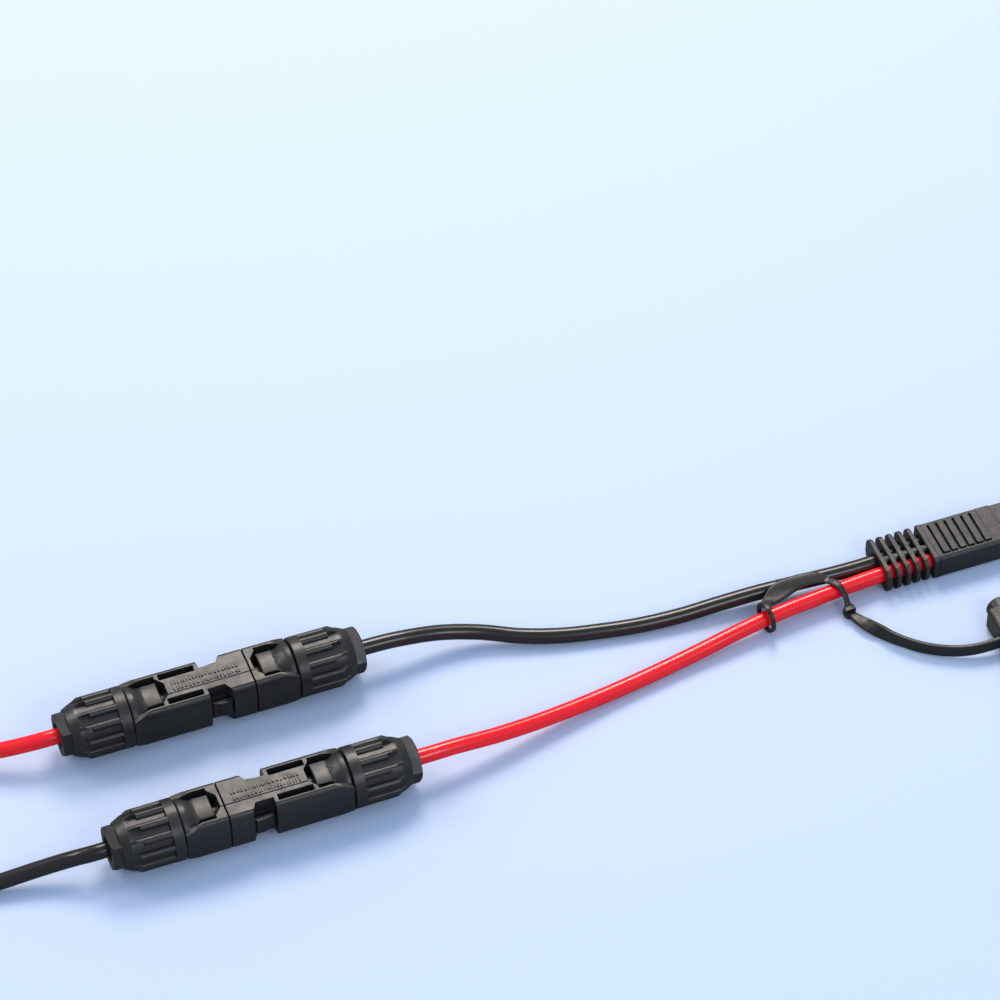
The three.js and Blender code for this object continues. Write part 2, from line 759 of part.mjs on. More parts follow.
function plugBody() {
  const { rear, step, shoulder, tip, halfY, h } = PLUG;
  const front = step - PLUG_LAP;
  const slab = (x0, x1, y0, y1, z0, z1, chamfer) =>
    prismX(chamfered(y0, y1, z0, z1, chamfer), x0, x1);
  const shroudY = [POLE_Y - SHROUD.halfY, POLE_Y + SHROUD.halfY];
  const parts = [
    slab(rear, step, -halfY, halfY, 0, h, PLUG_CHAMFER),
    slab(front, shoulder, -halfY, -0.3, 0, h, PLUG_CHAMFER),
    slab(front, shoulder, -1, FAR_HALF.y, FAR_HALF.z0, FAR_HALF.z1, PLUG_CHAMFER),
    slab(front, tip, ...shroudY, SHROUD.z0, SHROUD.z1, SHROUD.chamfer),
    slab(
      rear - FLANGE.length,
      rear + FLANGE.lap,
      -FLANGE.halfY,
      FLANGE.halfY,
      0,
      FLANGE.h,
      FLANGE.chamfer,
    ),
  ];
  for (const heights of SPINE.heights)
    parts.push(box(FIN.first + 0.2, rear, SPINE.y0, SPINE.y1, ...heights));
  for (let i = 0; i < FIN.count; i++) {
    const x = FIN.first + FIN.pitch * i;
    parts.push(prismX(FIN_OUTLINE, x, x + FIN.thick));
  }
  for (let i = 0; i < RIB.count; i++) {
    const x = RIB.first + RIB.pitch * i;
    parts.push(box(x - RIB.width / 2, x + RIB.width / 2, RIB.y0, RIB.y1, 9, h + RIB.h));
  }
  const bore = (x0, x1, y, radius) => cylinder(x0, x1, radius, 16).translate([0, y, POLE_Z]);
  return cut(
    unite(...parts),
    prismX(channelOutline(), FIN.first - 1, rear + 0.5),
    bore(rear - 1, LEAD_BORE.end, POLE_Y, LEAD_BORE.r),
    bore(rear - 1, LEAD_BORE.end, -POLE_Y, LEAD_BORE.r),
    bore(LEAD_BORE.end - 1, 30, POLE_Y, 2.6), // round the socket
    bore(LEAD_BORE.end - 1, 30, -POLE_Y, 2.4), // round the pin
  );
}

// A turned contact with a crimp bore at its rear; the profile is [x, radius].
const plugContact = (profile) =>
  cut(turned(profile, 16), cylinder(-20, PLUG_CONTACT.crimpEnd, PLUG_CONTACT.crimpR, 12));

function plugPin() {
  const profile = [
    [PLUG_CONTACT.rear, 0],
    [PLUG_CONTACT.rear, 2.05],
    [18.8, 2.05],
    [20.2, 1.6],
    [PLUG.tip, 0.8],
    [PLUG.tip, 0],
  ];
  return plugContact(profile).translate([0, -POLE_Y, POLE_Z]);
}

function plugSocket() {
  const { rear } = PLUG_CONTACT;
  return cut(
    plugContact([[rear, 0], [rear, 2.2], [19.6, 2.2], [19.6, 0]]),
    cylinder(2.0, 30, 1.7, 12),
    box(8, 30, -4, 4, -0.25, 0.25), // slit across the mouth
  ).translate([0, POLE_Y, POLE_Z]);
}
add(root, "plug_body", plugBody(), "plug");
add(root, "plug_pin", plugPin(), "tin");
add(root, "plug_socket", plugSocket(), "tin");

// ------------------------------------------------------- tether and dust cap
const EYE = { x: -80.6, y: -7.75, z: 4.45, rIn: 3.15, rOut: 4.2, half: 0.9, turn: 7 };
const POST = { x: -53.9, y: -12.4 };
const EYELET = { rOut: 2.5, rIn: 1.32, z0: 1.25, z1: 2.75 };
// Outline of the holder's leaf: [x, y].
const LEAF = [
  [-82.0, -1.2], [-79.2, -3.2], [-74.6, -4.9], [-71.0, -4.0], [-66.5, -2.2],
  [-61.5, -1.9], [-57.2, -3.4], [-55.0, -2.6], [-55.6, 0.6], [-58.6, 3.6],
  [-64.0, 4.9], [-71.0, 4.6], [-77.5, 2.6],
];
// Band stations: [x, y, z, width, thickness, roll].
const YOKE = [
  [-79.0, -1.5, 8.3, 2.6, 1.3, 0],
  [-79.8, -4.0, 8.5, 2.2, 1.3, 0],
  [-80.5, -6.6, 8.2, 1.8, 1.0, 0],
];
const LEG = [
  [-56.2, -1.4, 8.35, 2.6, 1.3, 0],
  [-55.3, -4.0, 8.35, 2.2, 1.3, 0],
  [-54.6, -7.2, 8.1, 2.2, 1.3, 0],
  [-54.2, -9.6, 6.4, 2.4, 1.3, 0],
  [-54.0, -11.0, 4.4, 2.6, 1.4, 0],
  [-53.9, -12.6, 3.9, 3.0, 1.4, 0],
];
const RIBBON = [
  [-53.4, -14.2, 2.0, 2.6, 1.5, 0],
  [-52.6, -16.2, 2.05, 3.4, 1.5, 0],
  [-51.4, -18.8, 2.3, 3.9, 1.5, 12],
  [-50.0, -21.4, 2.6, 4.2, 1.5, 38],
  [-48.2, -24.2, 2.65, 4.4, 1.5, 66],
  [-46.0, -27.2, 2.65, 4.4, 1.5, 84],
  [-43.2, -30.4, 2.65, 4.4, 1.5, 90],
  [-39.6, -33.9, 2.65, 4.4, 1.5, 90],
  [-35.2, -37.1, 2.7, 4.4, 1.5, 90],
  [-30.2, -39.8, 2.9, 4.4, 1.5, 90],
  [-25.0, -41.6, 3.3, 4.4, 1.5, 90],
  [-19.8, -42.4, 3.8, 4.4, 1.5, 90],
  [-14.5, -42.5, 4.2, 4.4, 1.5, 90],
];

// Holder: a leaf that lies over both leads, an eye round the red lead at its
// rear end, and a leg that crosses the red lead and ends in a headed post.
function holder() {
  const eye = ring(-EYE.half, EYE.half, EYE.rIn, EYE.rOut, 20)
    .rotate([0, 0, EYE.turn])
    .translate([EYE.x, EYE.y, EYE.z]);
  const upright = (radius, height, middleZ) => {
    const geometry = new THREE.CylinderGeometry(radius, radius, height, 14);
    geometry.rotateX(Math.PI / 2);
    geometry.translate(POST.x, POST.y, middleZ);
    return toSolid(geometry);
  };
  const post = upright(1.0, 3.4, 2.2);
  const head = upright(1.7, 0.7, 0.55);
  return unite(prismZ(LEAF, 7.65, 9.0), eye, band(YOKE), band(LEG), post, head);
}

// Strap: an eyelet round the post, then a ribbon that turns on edge.
function strap() {
  const hole = circle(EYELET.rIn, 14);
  const eyelet = prismZ(circle(EYELET.rOut, 18), EYELET.z0, EYELET.z1, [hole]);
  return unite(eyelet.translate([POST.x, POST.y, 0]), band(RIBBON));
}

// Dust cap: a sleeve for the bare pin beside a box for the shrouded socket,
// both open towards -Y.
const CAP = { x0: -15.5, x1: 2.5, y0: -48.4, y1: -30.4, h: 8.9, chamfer: 1 };
const SLEEVE = { x: -10.2, z: 5.0, r: 4.1, noseR: 3.0, bore: 2.5 };

function dustCap() {
  const { x0, x1, y0, y1 } = CAP;
  // A round piece on the sleeve's axis, with its radius at each end.
  const along = (start, end, startR, endR, sides) => {
    const geometry = new THREE.CylinderGeometry(endR, startR, end - start, sides);
    geometry.translate(SLEEVE.x, (start + end) / 2, SLEEVE.z);
    return toSolid(geometry);
  };
  return cut(
    unite(
      prismY(chamfered(x0, x1, 0, CAP.h, CAP.chamfer), y0, y1 - 2),
      along(y0 + 1, y1 + 1, SLEEVE.r, SLEEVE.r, 20),
      along(y1 + 1, y1 + 2, SLEEVE.r, SLEEVE.noseR, 20),
    ),
    along(y0 - 1, y1 - 2.5, SLEEVE.bore, SLEEVE.bore, 16),
    box(-6.1, 1.3, y0 - 1, y1 - 4.5, 1.0, 8.0), // socket's box
    box(x0 - 1, x0 + 1.4, -43.6, -41.3, 1.7, 6.7), // slot for the ribbon's end
  );
}
add(root, "tether_holder", holder(), "rubber");
add(root, "tether_strap", strap(), "rubber");
add(root, "dust_cap", dustCap(), "rubber");

export default root;
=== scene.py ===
"""A solar adapter lead. Two mated pairs of single-pole cable connectors, "a" at +Y and
"b" at -Y, lie along X near the -X end. A short lead leaves each pair towards -X, and a
long one runs towards +X into a flat two-pole plug near the origin, which has a tethered
dust cap. Z is up. Shapes are modelled in millimetres and scaled to metres by piece().
"""
import json
import math
import random
import bpy
import bmesh
from mathutils import Matrix, Vector
from mathutils.bvhtree import BVHTree

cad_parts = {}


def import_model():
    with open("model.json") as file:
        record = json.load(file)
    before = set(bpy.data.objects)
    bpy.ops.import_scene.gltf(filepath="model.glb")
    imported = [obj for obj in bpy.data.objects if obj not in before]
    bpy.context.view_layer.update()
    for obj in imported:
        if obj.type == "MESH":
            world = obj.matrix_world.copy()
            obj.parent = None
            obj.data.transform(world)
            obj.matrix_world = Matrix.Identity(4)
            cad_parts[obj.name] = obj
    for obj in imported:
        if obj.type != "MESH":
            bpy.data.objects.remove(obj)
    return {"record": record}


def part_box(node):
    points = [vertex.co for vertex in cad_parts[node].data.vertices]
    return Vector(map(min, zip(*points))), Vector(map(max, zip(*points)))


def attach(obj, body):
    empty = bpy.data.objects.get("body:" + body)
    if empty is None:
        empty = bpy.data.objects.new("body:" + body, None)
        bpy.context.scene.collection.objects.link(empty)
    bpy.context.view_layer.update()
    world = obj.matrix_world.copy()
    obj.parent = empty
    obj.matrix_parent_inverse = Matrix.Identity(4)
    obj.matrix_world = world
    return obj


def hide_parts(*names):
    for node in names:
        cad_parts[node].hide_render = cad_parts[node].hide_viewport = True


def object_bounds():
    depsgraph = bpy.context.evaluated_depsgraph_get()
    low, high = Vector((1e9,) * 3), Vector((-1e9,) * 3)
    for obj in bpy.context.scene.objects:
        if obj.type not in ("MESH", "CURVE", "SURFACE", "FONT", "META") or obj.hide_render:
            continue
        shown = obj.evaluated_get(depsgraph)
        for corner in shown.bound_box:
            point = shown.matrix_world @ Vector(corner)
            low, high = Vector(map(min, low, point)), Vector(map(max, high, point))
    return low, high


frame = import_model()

CAD_BOUNDS = [[float(c) for c in p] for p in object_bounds()]
random.seed(7)

MM = 0.001
FAR = 20  # reach of a cutter that passes right out of a part

# ---------------------------------------------------------------- placement
# The long and short housings of a pair meet at its seam, midway between them.
SEAM_GAP = 0.2  # from each housing's mating face to the seam


def cad_span(node):
    """The low and high corners of a CAD node, in millimetres."""
    return [[c / MM for c in corner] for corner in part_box(node)]


low, high = cad_span("a_pin_housing")
A_SEAM = high[0] + SEAM_GAP
A_Y, AXIS_Z = (low[1] + high[1]) / 2, (low[2] + high[2]) / 2
low, high = cad_span("b_pin_housing")
B_SEAM = low[0] - SEAM_GAP
B_Y = (low[1] + high[1]) / 2
TURN = Matrix.Rotation(math.pi, 4, "Z")
PAIRS = {
    "a": Matrix.Translation((A_SEAM, A_Y, AXIS_Z)),
    "b": Matrix.Translation((B_SEAM, B_Y, AXIS_Z)) @ TURN,
}
BODIES = frame["record"]["behaviour"]["bodies"]
BODY_OF = {node: body for body, nodes in BODIES.items() for node in nodes}
SLOT_OF = {s["node"]: s["material_slot"] for s in frame["record"]["subparts"]}

# ------------------------------------------------------------- mesh helpers


def make_mesh(verts, faces):
    """A mesh with doubles merged and its normals facing out."""
    me = bpy.data.meshes.new("part")
    me.from_pydata([tuple(v) for v in verts], [], faces)
    bm = bmesh.new()
    bm.from_mesh(me)
    bmesh.ops.remove_doubles(bm, verts=bm.verts, dist=1e-5)
    bmesh.ops.recalc_face_normals(bm, faces=bm.faces)
    if bm.calc_volume(signed=True) < 0:
        bmesh.ops.reverse_faces(bm, faces=bm.faces)
    bm.to_mesh(me)
    bm.free()
    return me


def moved(me, matrix):
    me = me.copy()
    me.transform(matrix)
    return me


def merged(*meshes):
    """Several meshes in one, without a boolean."""
    bm = bmesh.new()
    for me in meshes:
        bm.from_mesh(me)
    out = bpy.data.meshes.new("part")
    bm.to_mesh(out)
    bm.free()
    return out


def lathe(profile, seg=64):
    """A closed solid of revolution about X from (x, radius) points, which run
    from the axis to the axis or round a closed loop."""
    verts, rings = [], []
    loop = profile[0] == profile[-1]
    for x, r in profile[:-1] if loop else profile:
        if r < 1e-6:
            rings.append([len(verts)])
            verts.append((x, 0, 0))
        else:
            rings.append(list(range(len(verts), len(verts) + seg)))
            for k in range(seg):
                a = 2 * math.pi * k / seg
                verts.append((x, r * math.cos(a), r * math.sin(a)))
    faces = []
    n = len(rings)
    for i in range(n if loop else n - 1):
        a, b = rings[i], rings[(i + 1) % n]
        for k in range(seg):
            k2 = (k + 1) % seg
            if len(a) == 1:
                faces.append((a[0], b[k], b[k2]))
            elif len(b) == 1:
                faces.append((a[k], b[0], a[k2]))
            else:
                faces.append((a[k], b[k], b[k2], a[k2]))
    return make_mesh(verts, faces)


def rod(x0, x1, r, seg=48):
    return lathe([(x0, 0), (x0, r), (x1, r), (x1, 0)], seg)


def prism(points, axis, start, stop):
    """A closed prism along an axis: points are (y, z) for X, (x, z) for Y and
    (x, y) for Z."""
    def at(p, w):
        return {"X": (w, p[0], p[1]), "Y": (p[0], w, p[1]), "Z": (p[0], p[1], w)}[axis]
    n = len(points)
    verts = [at(p, start) for p in points] + [at(p, stop) for p in points]
    faces = [tuple(range(n)), tuple(range(n, 2 * n))]
    faces += [(i, (i + 1) % n, n + (i + 1) % n, n + i) for i in range(n)]
    return make_mesh(verts, faces)


def block(x0, x1, y0, y1, z0, z1):
    return prism([(x0, y0), (x1, y0), (x1, y1), (x0, y1)], "Z", z0, z1)


def side_block(side, x0, x1, near, far, z0, z1):
    """A block between two distances from the XZ plane, on the +Y or -Y side."""
    y0, y1 = sorted((side * near, side * far))
    return block(x0, x1, y0, y1, z0, z1)


def wall(rows, n):
    """Quads that join consecutive rings of n vertices."""
    return [(i * n + k, i * n + (k + 1) % n, (i + 1) * n + (k + 1) % n, (i + 1) * n + k)
            for i in range(rows - 1) for k in range(n)]


def loft(rings):
    """A skin over rings of equal count, with a flat face at each end."""
    n = len(rings[0])
    last = (len(rings) - 1) * n
    faces = wall(len(rings), n) + [tuple(range(n)), tuple(range(last, last + n))]
    return make_mesh([v for ring in rings for v in ring], faces)


def csg(base, steps):
    """Joins and cuts with Blender's boolean; steps are (operation, mesh)."""
    sc = bpy.context.scene
    ob = bpy.data.objects.new("tmp", base.copy())
    sc.collection.objects.link(ob)
    made = [ob]
    for sign, me in steps:
        tool = bpy.data.objects.new("cut", me)
        sc.collection.objects.link(tool)
        made.append(tool)
        mod = ob.modifiers.new("b", "BOOLEAN")
        mod.operation = {"+": "UNION", "-": "DIFFERENCE", "*": "INTERSECT"}[sign]
        mod.object = tool
        mod.solver = "MANIFOLD"
    dg = bpy.context.evaluated_depsgraph_get()
    dg.update()
    out = bpy.data.meshes.new_from_object(ob.evaluated_get(dg))
    for o in made:
        bpy.data.objects.remove(o, do_unlink=True)
    if len(out.polygons) < 4:
        raise RuntimeError("a boolean came out empty")
    return out


def all_smooth(me):
    for p in me.polygons:
        p.use_smooth = True


def eased(me, width, segments=2, angle=32.0, dissolve=True, clamp=False):
    """Rounds the hard edges of a moulded part and gives it even shading."""
    bm = bmesh.new()
    bm.from_mesh(me)
    bmesh.ops.remove_doubles(bm, verts=bm.verts, dist=1e-4)
    if dissolve:
        bmesh.ops.dissolve_limit(
            bm, angle_limit=math.radians(0.6), verts=bm.verts, edges=bm.edges,
            use_dissolve_boundaries=False,
        )
    skin = BVHTree.FromBMesh(bm)
    bm.to_mesh(me)
    bm.free()
    ob = bpy.data.objects.new("tmp", me)
    bpy.context.scene.collection.objects.link(ob)
    bevel = ob.modifiers.new("bevel", "BEVEL")
    bevel.width = width
    bevel.segments = segments
    bevel.limit_method = "ANGLE"
    bevel.angle_limit = math.radians(angle)
    bevel.use_clamp_overlap = clamp
    bevel.harden_normals = False
    bevel.miter_outer = "MITER_ARC"
    normals = ob.modifiers.new("wn", "WEIGHTED_NORMAL")
    normals.keep_sharp = False
    normals.weight = 60
    all_smooth(me)
    dg = bpy.context.evaluated_depsgraph_get()
    dg.update()
    out = bpy.data.meshes.new_from_object(ob.evaluated_get(dg))
    bpy.data.objects.remove(ob, do_unlink=True)
    # pull back any corner that the rounding threw off the sharp solid's skin
    for v in out.vertices:
        spot, _normal, _index, far = skin.find_nearest(v.co)
        if spot is not None and far > width * 1.2:
            v.co = spot
    return out


def smoothed(me):
    """Smooth shading with hard edges kept above 40 degrees."""
    all_smooth(me)
    bm = bmesh.new()
    bm.from_mesh(me)
    bmesh.ops.remove_doubles(bm, verts=bm.verts, dist=1e-4)
    for e in bm.edges:
        if len(e.link_faces) == 2 and e.calc_face_angle() > math.radians(40):
            e.smooth = False
    bm.to_mesh(me)
    bm.free()
    return me


def smoothstep(t):
    return t * t * (3 - 2 * t)


def hermite(t, start, start_slope, stop, stop_slope):
    return ((2 * t**3 - 3 * t**2 + 1) * start + (t**3 - 2 * t**2 + t) * start_slope
            + (-2 * t**3 + 3 * t**2) * stop + (t**3 - t**2) * stop_slope)


def catmull(points, step):
    """Centripetal Catmull-Rom through the points, sampled about every step."""
    pts = [Vector(p) for p in points]
    pts = [pts[0] * 2 - pts[1]] + pts + [pts[-1] * 2 - pts[-2]]
    out = []
    for i in range(1, len(pts) - 2):
        p0, p1, p2, p3 = pts[i - 1 : i + 3]
        d1 = max((p1 - p0).length ** 0.5, 1e-6)
        d2 = max((p2 - p1).length ** 0.5, 1e-6)
        d3 = max((p3 - p2).length ** 0.5, 1e-6)
        m1 = (p1 - p0) / d1 - (p2 - p0) / (d1 + d2) + (p2 - p1) / d2
        m2 = (p2 - p1) / d2 - (p3 - p1) / (d2 + d3) + (p3 - p2) / d3
        m1, m2 = m1 * d2, m2 * d2
        n = max(2, round((p2 - p1).length / step))
        out += [hermite(k / n, p1, m1, p2, m2) for k in range(n)]
    out.append(pts[-2])
    return out


def tangent(path, i):
    return (path[min(i + 1, len(path) - 1)] - path[max(i - 1, 0)]).normalized()


def frames(path):
    """Each point with two cross directions, carried along without twist."""
    out = []
    up = Vector((0, 0, 1))
    for i, p in enumerate(path):
        t = tangent(path, i)
        side = up.cross(t).normalized()
        up = t.cross(side).normalized()
        out.append((p, side, up))
    return out


def rounded(y0, y1, z0, z1, r, n=5):
    """A rectangle with round corners of n steps each."""
    out = []
    for cy, cz, a0 in ((y1 - r, z0 + r, -90), (y1 - r, z1 - r, 0),
                       (y0 + r, z1 - r, 90), (y0 + r, z0 + r, 180)):
        for k in range(n + 1):
            a = math.radians(a0 + 90 * k / n)
            out.append((cy + r * math.cos(a), cz + r * math.sin(a)))
    return out


def chamfered(y0, y1, z0, z1, c):
    """A rectangle with its corners cut off by c."""
    return [(y0 + c, z0), (y1 - c, z0), (y1, z0 + c), (y1, z1 - c),
            (y1 - c, z1), (y0 + c, z1), (y0, z1 - c), (y0, z0 + c)]


def piece(node, me, matrix=None):
    """Adds a finished mesh, modelled in millimetres, in place of a CAD node."""
    me = me.copy()
    if matrix is not None:
        me.transform(matrix)
    me.transform(Matrix.Scale(MM, 4))
    me.name = node + "_look"
    ob = bpy.data.objects.new(node + "_look", me)
    bpy.context.scene.collection.objects.link(ob)
    me.materials.clear()
    me.materials.append(MATERIALS[SLOT_OF[node]])
    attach(ob, BODY_OF[node])
    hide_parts(node)


# ---------------------------------------------------------------- materials
# Texture scales are per metre; bump distances and edge radii are in metres.
MIX_A, MIX_B, MIX_RESULT = 6, 7, 2  # the colour sockets of a Mix node


class Shader:
    """A material with a Principled surface and short ways to feed it."""

    def __init__(self, name):
        self.mat = bpy.data.materials.new(name)
        self.mat.use_nodes = True
        self.tree = self.mat.node_tree
        self.tree.nodes.clear()
        out = self.add("OutputMaterial")
        self.bsdf = self.add("BsdfPrincipled")
        self.link(self.bsdf.outputs[0], out.inputs[0])
        self.coord = None

    def add(self, kind):
        return self.tree.nodes.new("ShaderNode" + kind)

    def link(self, a, b):
        self.tree.links.new(a, b)

    def texture(self, kind, scale):
        """A texture node in object coordinates."""
        if self.coord is None:
            self.coord = self.add("TexCoord")
        n = self.add(kind)
        n.inputs["Scale"].default_value = scale
        self.link(self.coord.outputs["Object"], n.inputs["Vector"])
        return n

    def noise(self, scale, detail, rough=0.6):
        n = self.texture("TexNoise", scale)
        n.inputs["Detail"].default_value = detail
        n.inputs["Roughness"].default_value = rough
        return n.outputs["Fac"]

    def cells(self, scale):
        return self.texture("TexVoronoi", scale).outputs["Distance"]

    def ramp(self, value, *stops):
        """Colours by two (position, colour) stops."""
        n = self.add("ValToRGB")
        for element, (position, colour) in zip(n.color_ramp.elements, stops):
            element.position = position
            element.color = (*colour, 1)
        self.link(value, n.inputs[0])
        return n.outputs[0]

    def remap(self, value, source, target):
        """Maps the source range onto the target range."""
        n = self.add("MapRange")
        n.inputs["From Min"].default_value, n.inputs["From Max"].default_value = source
        n.inputs["To Min"].default_value, n.inputs["To Max"].default_value = target
        self.link(value, n.inputs["Value"])
        return n.outputs[0]

    def uneven(self, scale, detail, target):
        """Noise whose middle range is spread over the target range."""
        return self.remap(self.noise(scale, detail), source=(0.3, 0.7), target=target)

    def multiply(self, a, b):
        n = self.add("Math")
        n.operation = "MULTIPLY"
        self.link(a, n.inputs[0])
        self.link(b, n.inputs[1])
        return n.outputs[0]

    def mix(self, factor, a, b):
        n = self.add("Mix")
        n.data_type = "RGBA"
        self.link(factor, n.inputs["Factor"])
        for sock, v in ((n.inputs[MIX_A], a), (n.inputs[MIX_B], b)):
            if isinstance(v, tuple):
                sock.default_value = (*v, 1)
            else:
                self.link(v, sock)
        return n.outputs[MIX_RESULT]

    def bump(self, height, distance, strength, normal=None):
        n = self.add("Bump")
        n.inputs["Distance"].default_value = distance
        n.inputs["Strength"].default_value = strength
        self.link(height, n.inputs["Height"])
        if normal is not None:
            self.link(normal, n.inputs["Normal"])
        return n.outputs[0]

    def edges(self, radius):
        """1 on edges, falling to 0 on flats."""
        bevel = self.add("Bevel")
        bevel.samples = 4
        bevel.inputs["Radius"].default_value = radius
        geometry = self.add("NewGeometry")
        dot = self.add("VectorMath")
        dot.operation = "DOT_PRODUCT"
        self.link(bevel.outputs[0], dot.inputs[0])
        self.link(geometry.outputs["Normal"], dot.inputs[1])
        return self.remap(dot.outputs["Value"], source=(0.80, 0.995), target=(1.0, 0.0))

    def set(self, name, value):
        s = self.bsdf.inputs[name]
        if isinstance(value, tuple):
            s.default_value = (*value, 1)
        elif isinstance(value, (int, float)):
            s.default_value = value
        else:
            self.link(value, s)


def moulded(name, dark, light, rough, grain, spec, fine=2600.0):
    """Moulded plastic: a fine grain, faint mottling, uneven roughness and a
    painted highlight: edges coloured paler in patches."""
    n = Shader(name)
    colour = n.ramp(n.noise(scale=70, detail=5), (0.3, dark), (0.72, light))
    # painted highlight: rounded edges get a paler base colour, in uneven patches
    highlight_patches = n.remap(n.noise(scale=900, detail=3), source=(0.35, 0.7), target=(0.1, 0.7))
    painted_edge_highlight = n.multiply(n.edges(radius=0.00016), highlight_patches)
    edge_highlight_colour = tuple(min(1.0, c * 3.4 + 0.02) for c in light)
    n.set("Base Color", n.mix(painted_edge_highlight, colour, edge_highlight_colour))
    n.set("Roughness", n.uneven(scale=240, detail=4, target=(rough - 0.06, rough + 0.07)))
    pits = n.bump(n.cells(fine), distance=grain, strength=0.4)
    swell = n.noise(scale=fine * 0.45, detail=3)
    n.set("Normal", n.bump(swell, distance=grain * 1.2, strength=0.35, normal=pits))
    n.set("Specular IOR Level", spec)
    return n.mat


def rubber(name, dark, light, rough, sheen):
    """Soft rubber: a coarse grain and a warm sheen."""
    n = Shader(name)
    n.set("Base Color", n.ramp(n.noise(scale=160, detail=4), (0.3, dark), (0.75, light)))
    n.set("Roughness", n.uneven(scale=420, detail=4, target=(rough - 0.08, rough + 0.08)))
    grain = n.bump(n.noise(scale=2200, detail=4, rough=0.65), distance=0.00004, strength=0.6)
    n.set("Normal", n.bump(n.cells(1500), distance=0.00003, strength=0.4, normal=grain))
    n.set("Sheen Weight", sheen)
    n.set("Sheen Roughness", 0.45)
    n.set("Sheen Tint", (0.9, 0.85, 0.8))
    return n.mat


def pvc(name, dark, light, rough, coat):
    """Cable jacket: clean gloss with faint waviness."""
    n = Shader(name)
    n.set("Base Color", n.ramp(n.noise(scale=55, detail=3, rough=0.5),
                               (0.25, dark), (0.75, light)))
    n.set("Roughness", n.uneven(scale=650, detail=4, target=(rough - 0.02, rough + 0.03)))
    waves = n.bump(n.noise(scale=260, detail=1, rough=0.5), distance=0.00002, strength=0.2)
    ripple = n.noise(scale=1800, detail=1, rough=0.5)
    n.set("Normal", n.bump(ripple, distance=0.000002, strength=0.2, normal=waves))
    n.set("Specular IOR Level", 0.45)
    n.set("Coat Weight", coat)
    n.set("Coat Roughness", 0.16)
    return n.mat


def metal(name, dark, light, rough):
    n = Shader(name)
    n.set("Base Color", n.ramp(n.noise(scale=500, detail=5, rough=0.65),
                               (0.3, dark), (0.7, light)))
    n.set("Metallic", 1.0)
    n.set("Roughness", n.uneven(scale=900, detail=4, target=(rough - 0.08, rough + 0.1)))
    n.set("Normal", n.bump(n.noise(scale=2500, detail=3), distance=0.00001, strength=0.5))
    return n.mat


MATERIALS = {
    "housing": moulded("black_moulded_housing", dark=(0.013, 0.0128, 0.012),
                       light=(0.018, 0.0176, 0.0165), rough=0.41, grain=0.00001, spec=0.66),
    "nut": moulded("black_moulded_nut", dark=(0.012, 0.0118, 0.0112),
                   light=(0.017, 0.0167, 0.0159), rough=0.40, grain=0.00001, spec=0.68),
    "latch": moulded("black_moulded_latch", dark=(0.013, 0.0128, 0.012),
                     light=(0.018, 0.0177, 0.0167), rough=0.42, grain=0.00001, spec=0.5),
    "collet": moulded("grey_moulded_collet", dark=(0.045, 0.045, 0.043),
                      light=(0.065, 0.064, 0.061), rough=0.5, grain=0.00001, spec=0.5),
    "seal": rubber("black_seal_rubber", dark=(0.010, 0.010, 0.010),
                   light=(0.018, 0.018, 0.018), rough=0.62, sheen=0.15),
    "contact": metal("tin_plate", dark=(0.60, 0.61, 0.60), light=(0.80, 0.80, 0.79),
                     rough=0.27),
    "copper": metal("bare_copper", dark=(0.72, 0.30, 0.15), light=(0.88, 0.46, 0.27),
                    rough=0.3),
    "jacket_red": pvc("red_jacket", dark=(0.96, 0.0015, 0.009), light=(1.0, 0.002, 0.012),
                      rough=0.24, coat=0.4),
    "jacket_black": pvc("black_jacket", dark=(0.008, 0.008, 0.0076),
                        light=(0.013, 0.0127, 0.012), rough=0.30, coat=0.45),
    "plug": moulded("black_textured_plug", dark=(0.020, 0.0196, 0.0182),
                    light=(0.030, 0.0294, 0.0272), rough=0.44, grain=0.00008, spec=0.50,
                    fine=1500.0),
    "tether": rubber("black_tether_rubber", dark=(0.011, 0.0107, 0.0100),
                     light=(0.018, 0.0175, 0.0162), rough=0.38, sheen=0.06),
}

# --------------------------------------------------------- connector shapes
# One pair in its own frame: the seam at x = 0, the socket side towards +X.
# Each half ends at a nut seam; the threaded spigot and the nut lie beyond it.
LONG_END, SHORT_END = -39.5, 14.0  # x of the two nut seams
LONG_GLAND = Matrix.Translation((LONG_END, 0, 0)) @ TURN
SHORT_GLAND = Matrix.Translation((SHORT_END, 0, 0))

DECK_Z, DECK_Y = 7.4, 6.5  # height and half-width of the flat decks
SIDE_Y, SIDE_Z = 8.8, 1.2  # half-width of the body, half-height of its flat side
STRIP_Y, STRIP_Z = 2.4, DECK_Z + 0.3  # the raised strip along each deck
# distances inward from the nut seam
NECK, SHOULDER, FLARE = 12.7, 10.5, 5.9
FLARE_LENGTH = 4.6
ARCH_R, ARCH_DROP = 18.8, 11.85  # the throat's low arch, centred below the axis
COLLAR_R = 8.8
SPIGOT = 11.0  # length of the threaded spigot
BORE_R, SEAT_R = 3.5, 6.0  # the gland's through bore and its wider seat
SEAT_START = 2.5  # outward from the nut seam


def section():
    """The housing's cross-section: flat decks and softly rounded sides."""
    quarter = [(DECK_Y, DECK_Z)]
    for k in range(1, 8):
        a = math.radians(90 - 90 * k / 8)
        quarter.append((DECK_Y - 0.15 + (SIDE_Y - DECK_Y + 0.15) * math.cos(a) ** 0.85,
                        SIDE_Z + (DECK_Z - SIDE_Z) * math.sin(a) ** 0.8))
    quarter.append((SIDE_Y, SIDE_Z))
    half = quarter + [(y, -z) for y, z in reversed(quarter)]
    return [(-y, z) for y, z in half] + [(y, z) for y, z in reversed(half)]


def arch_z(y):
    return math.sqrt(ARCH_R**2 - min(abs(y), 4.9) ** 2) - ARCH_DROP


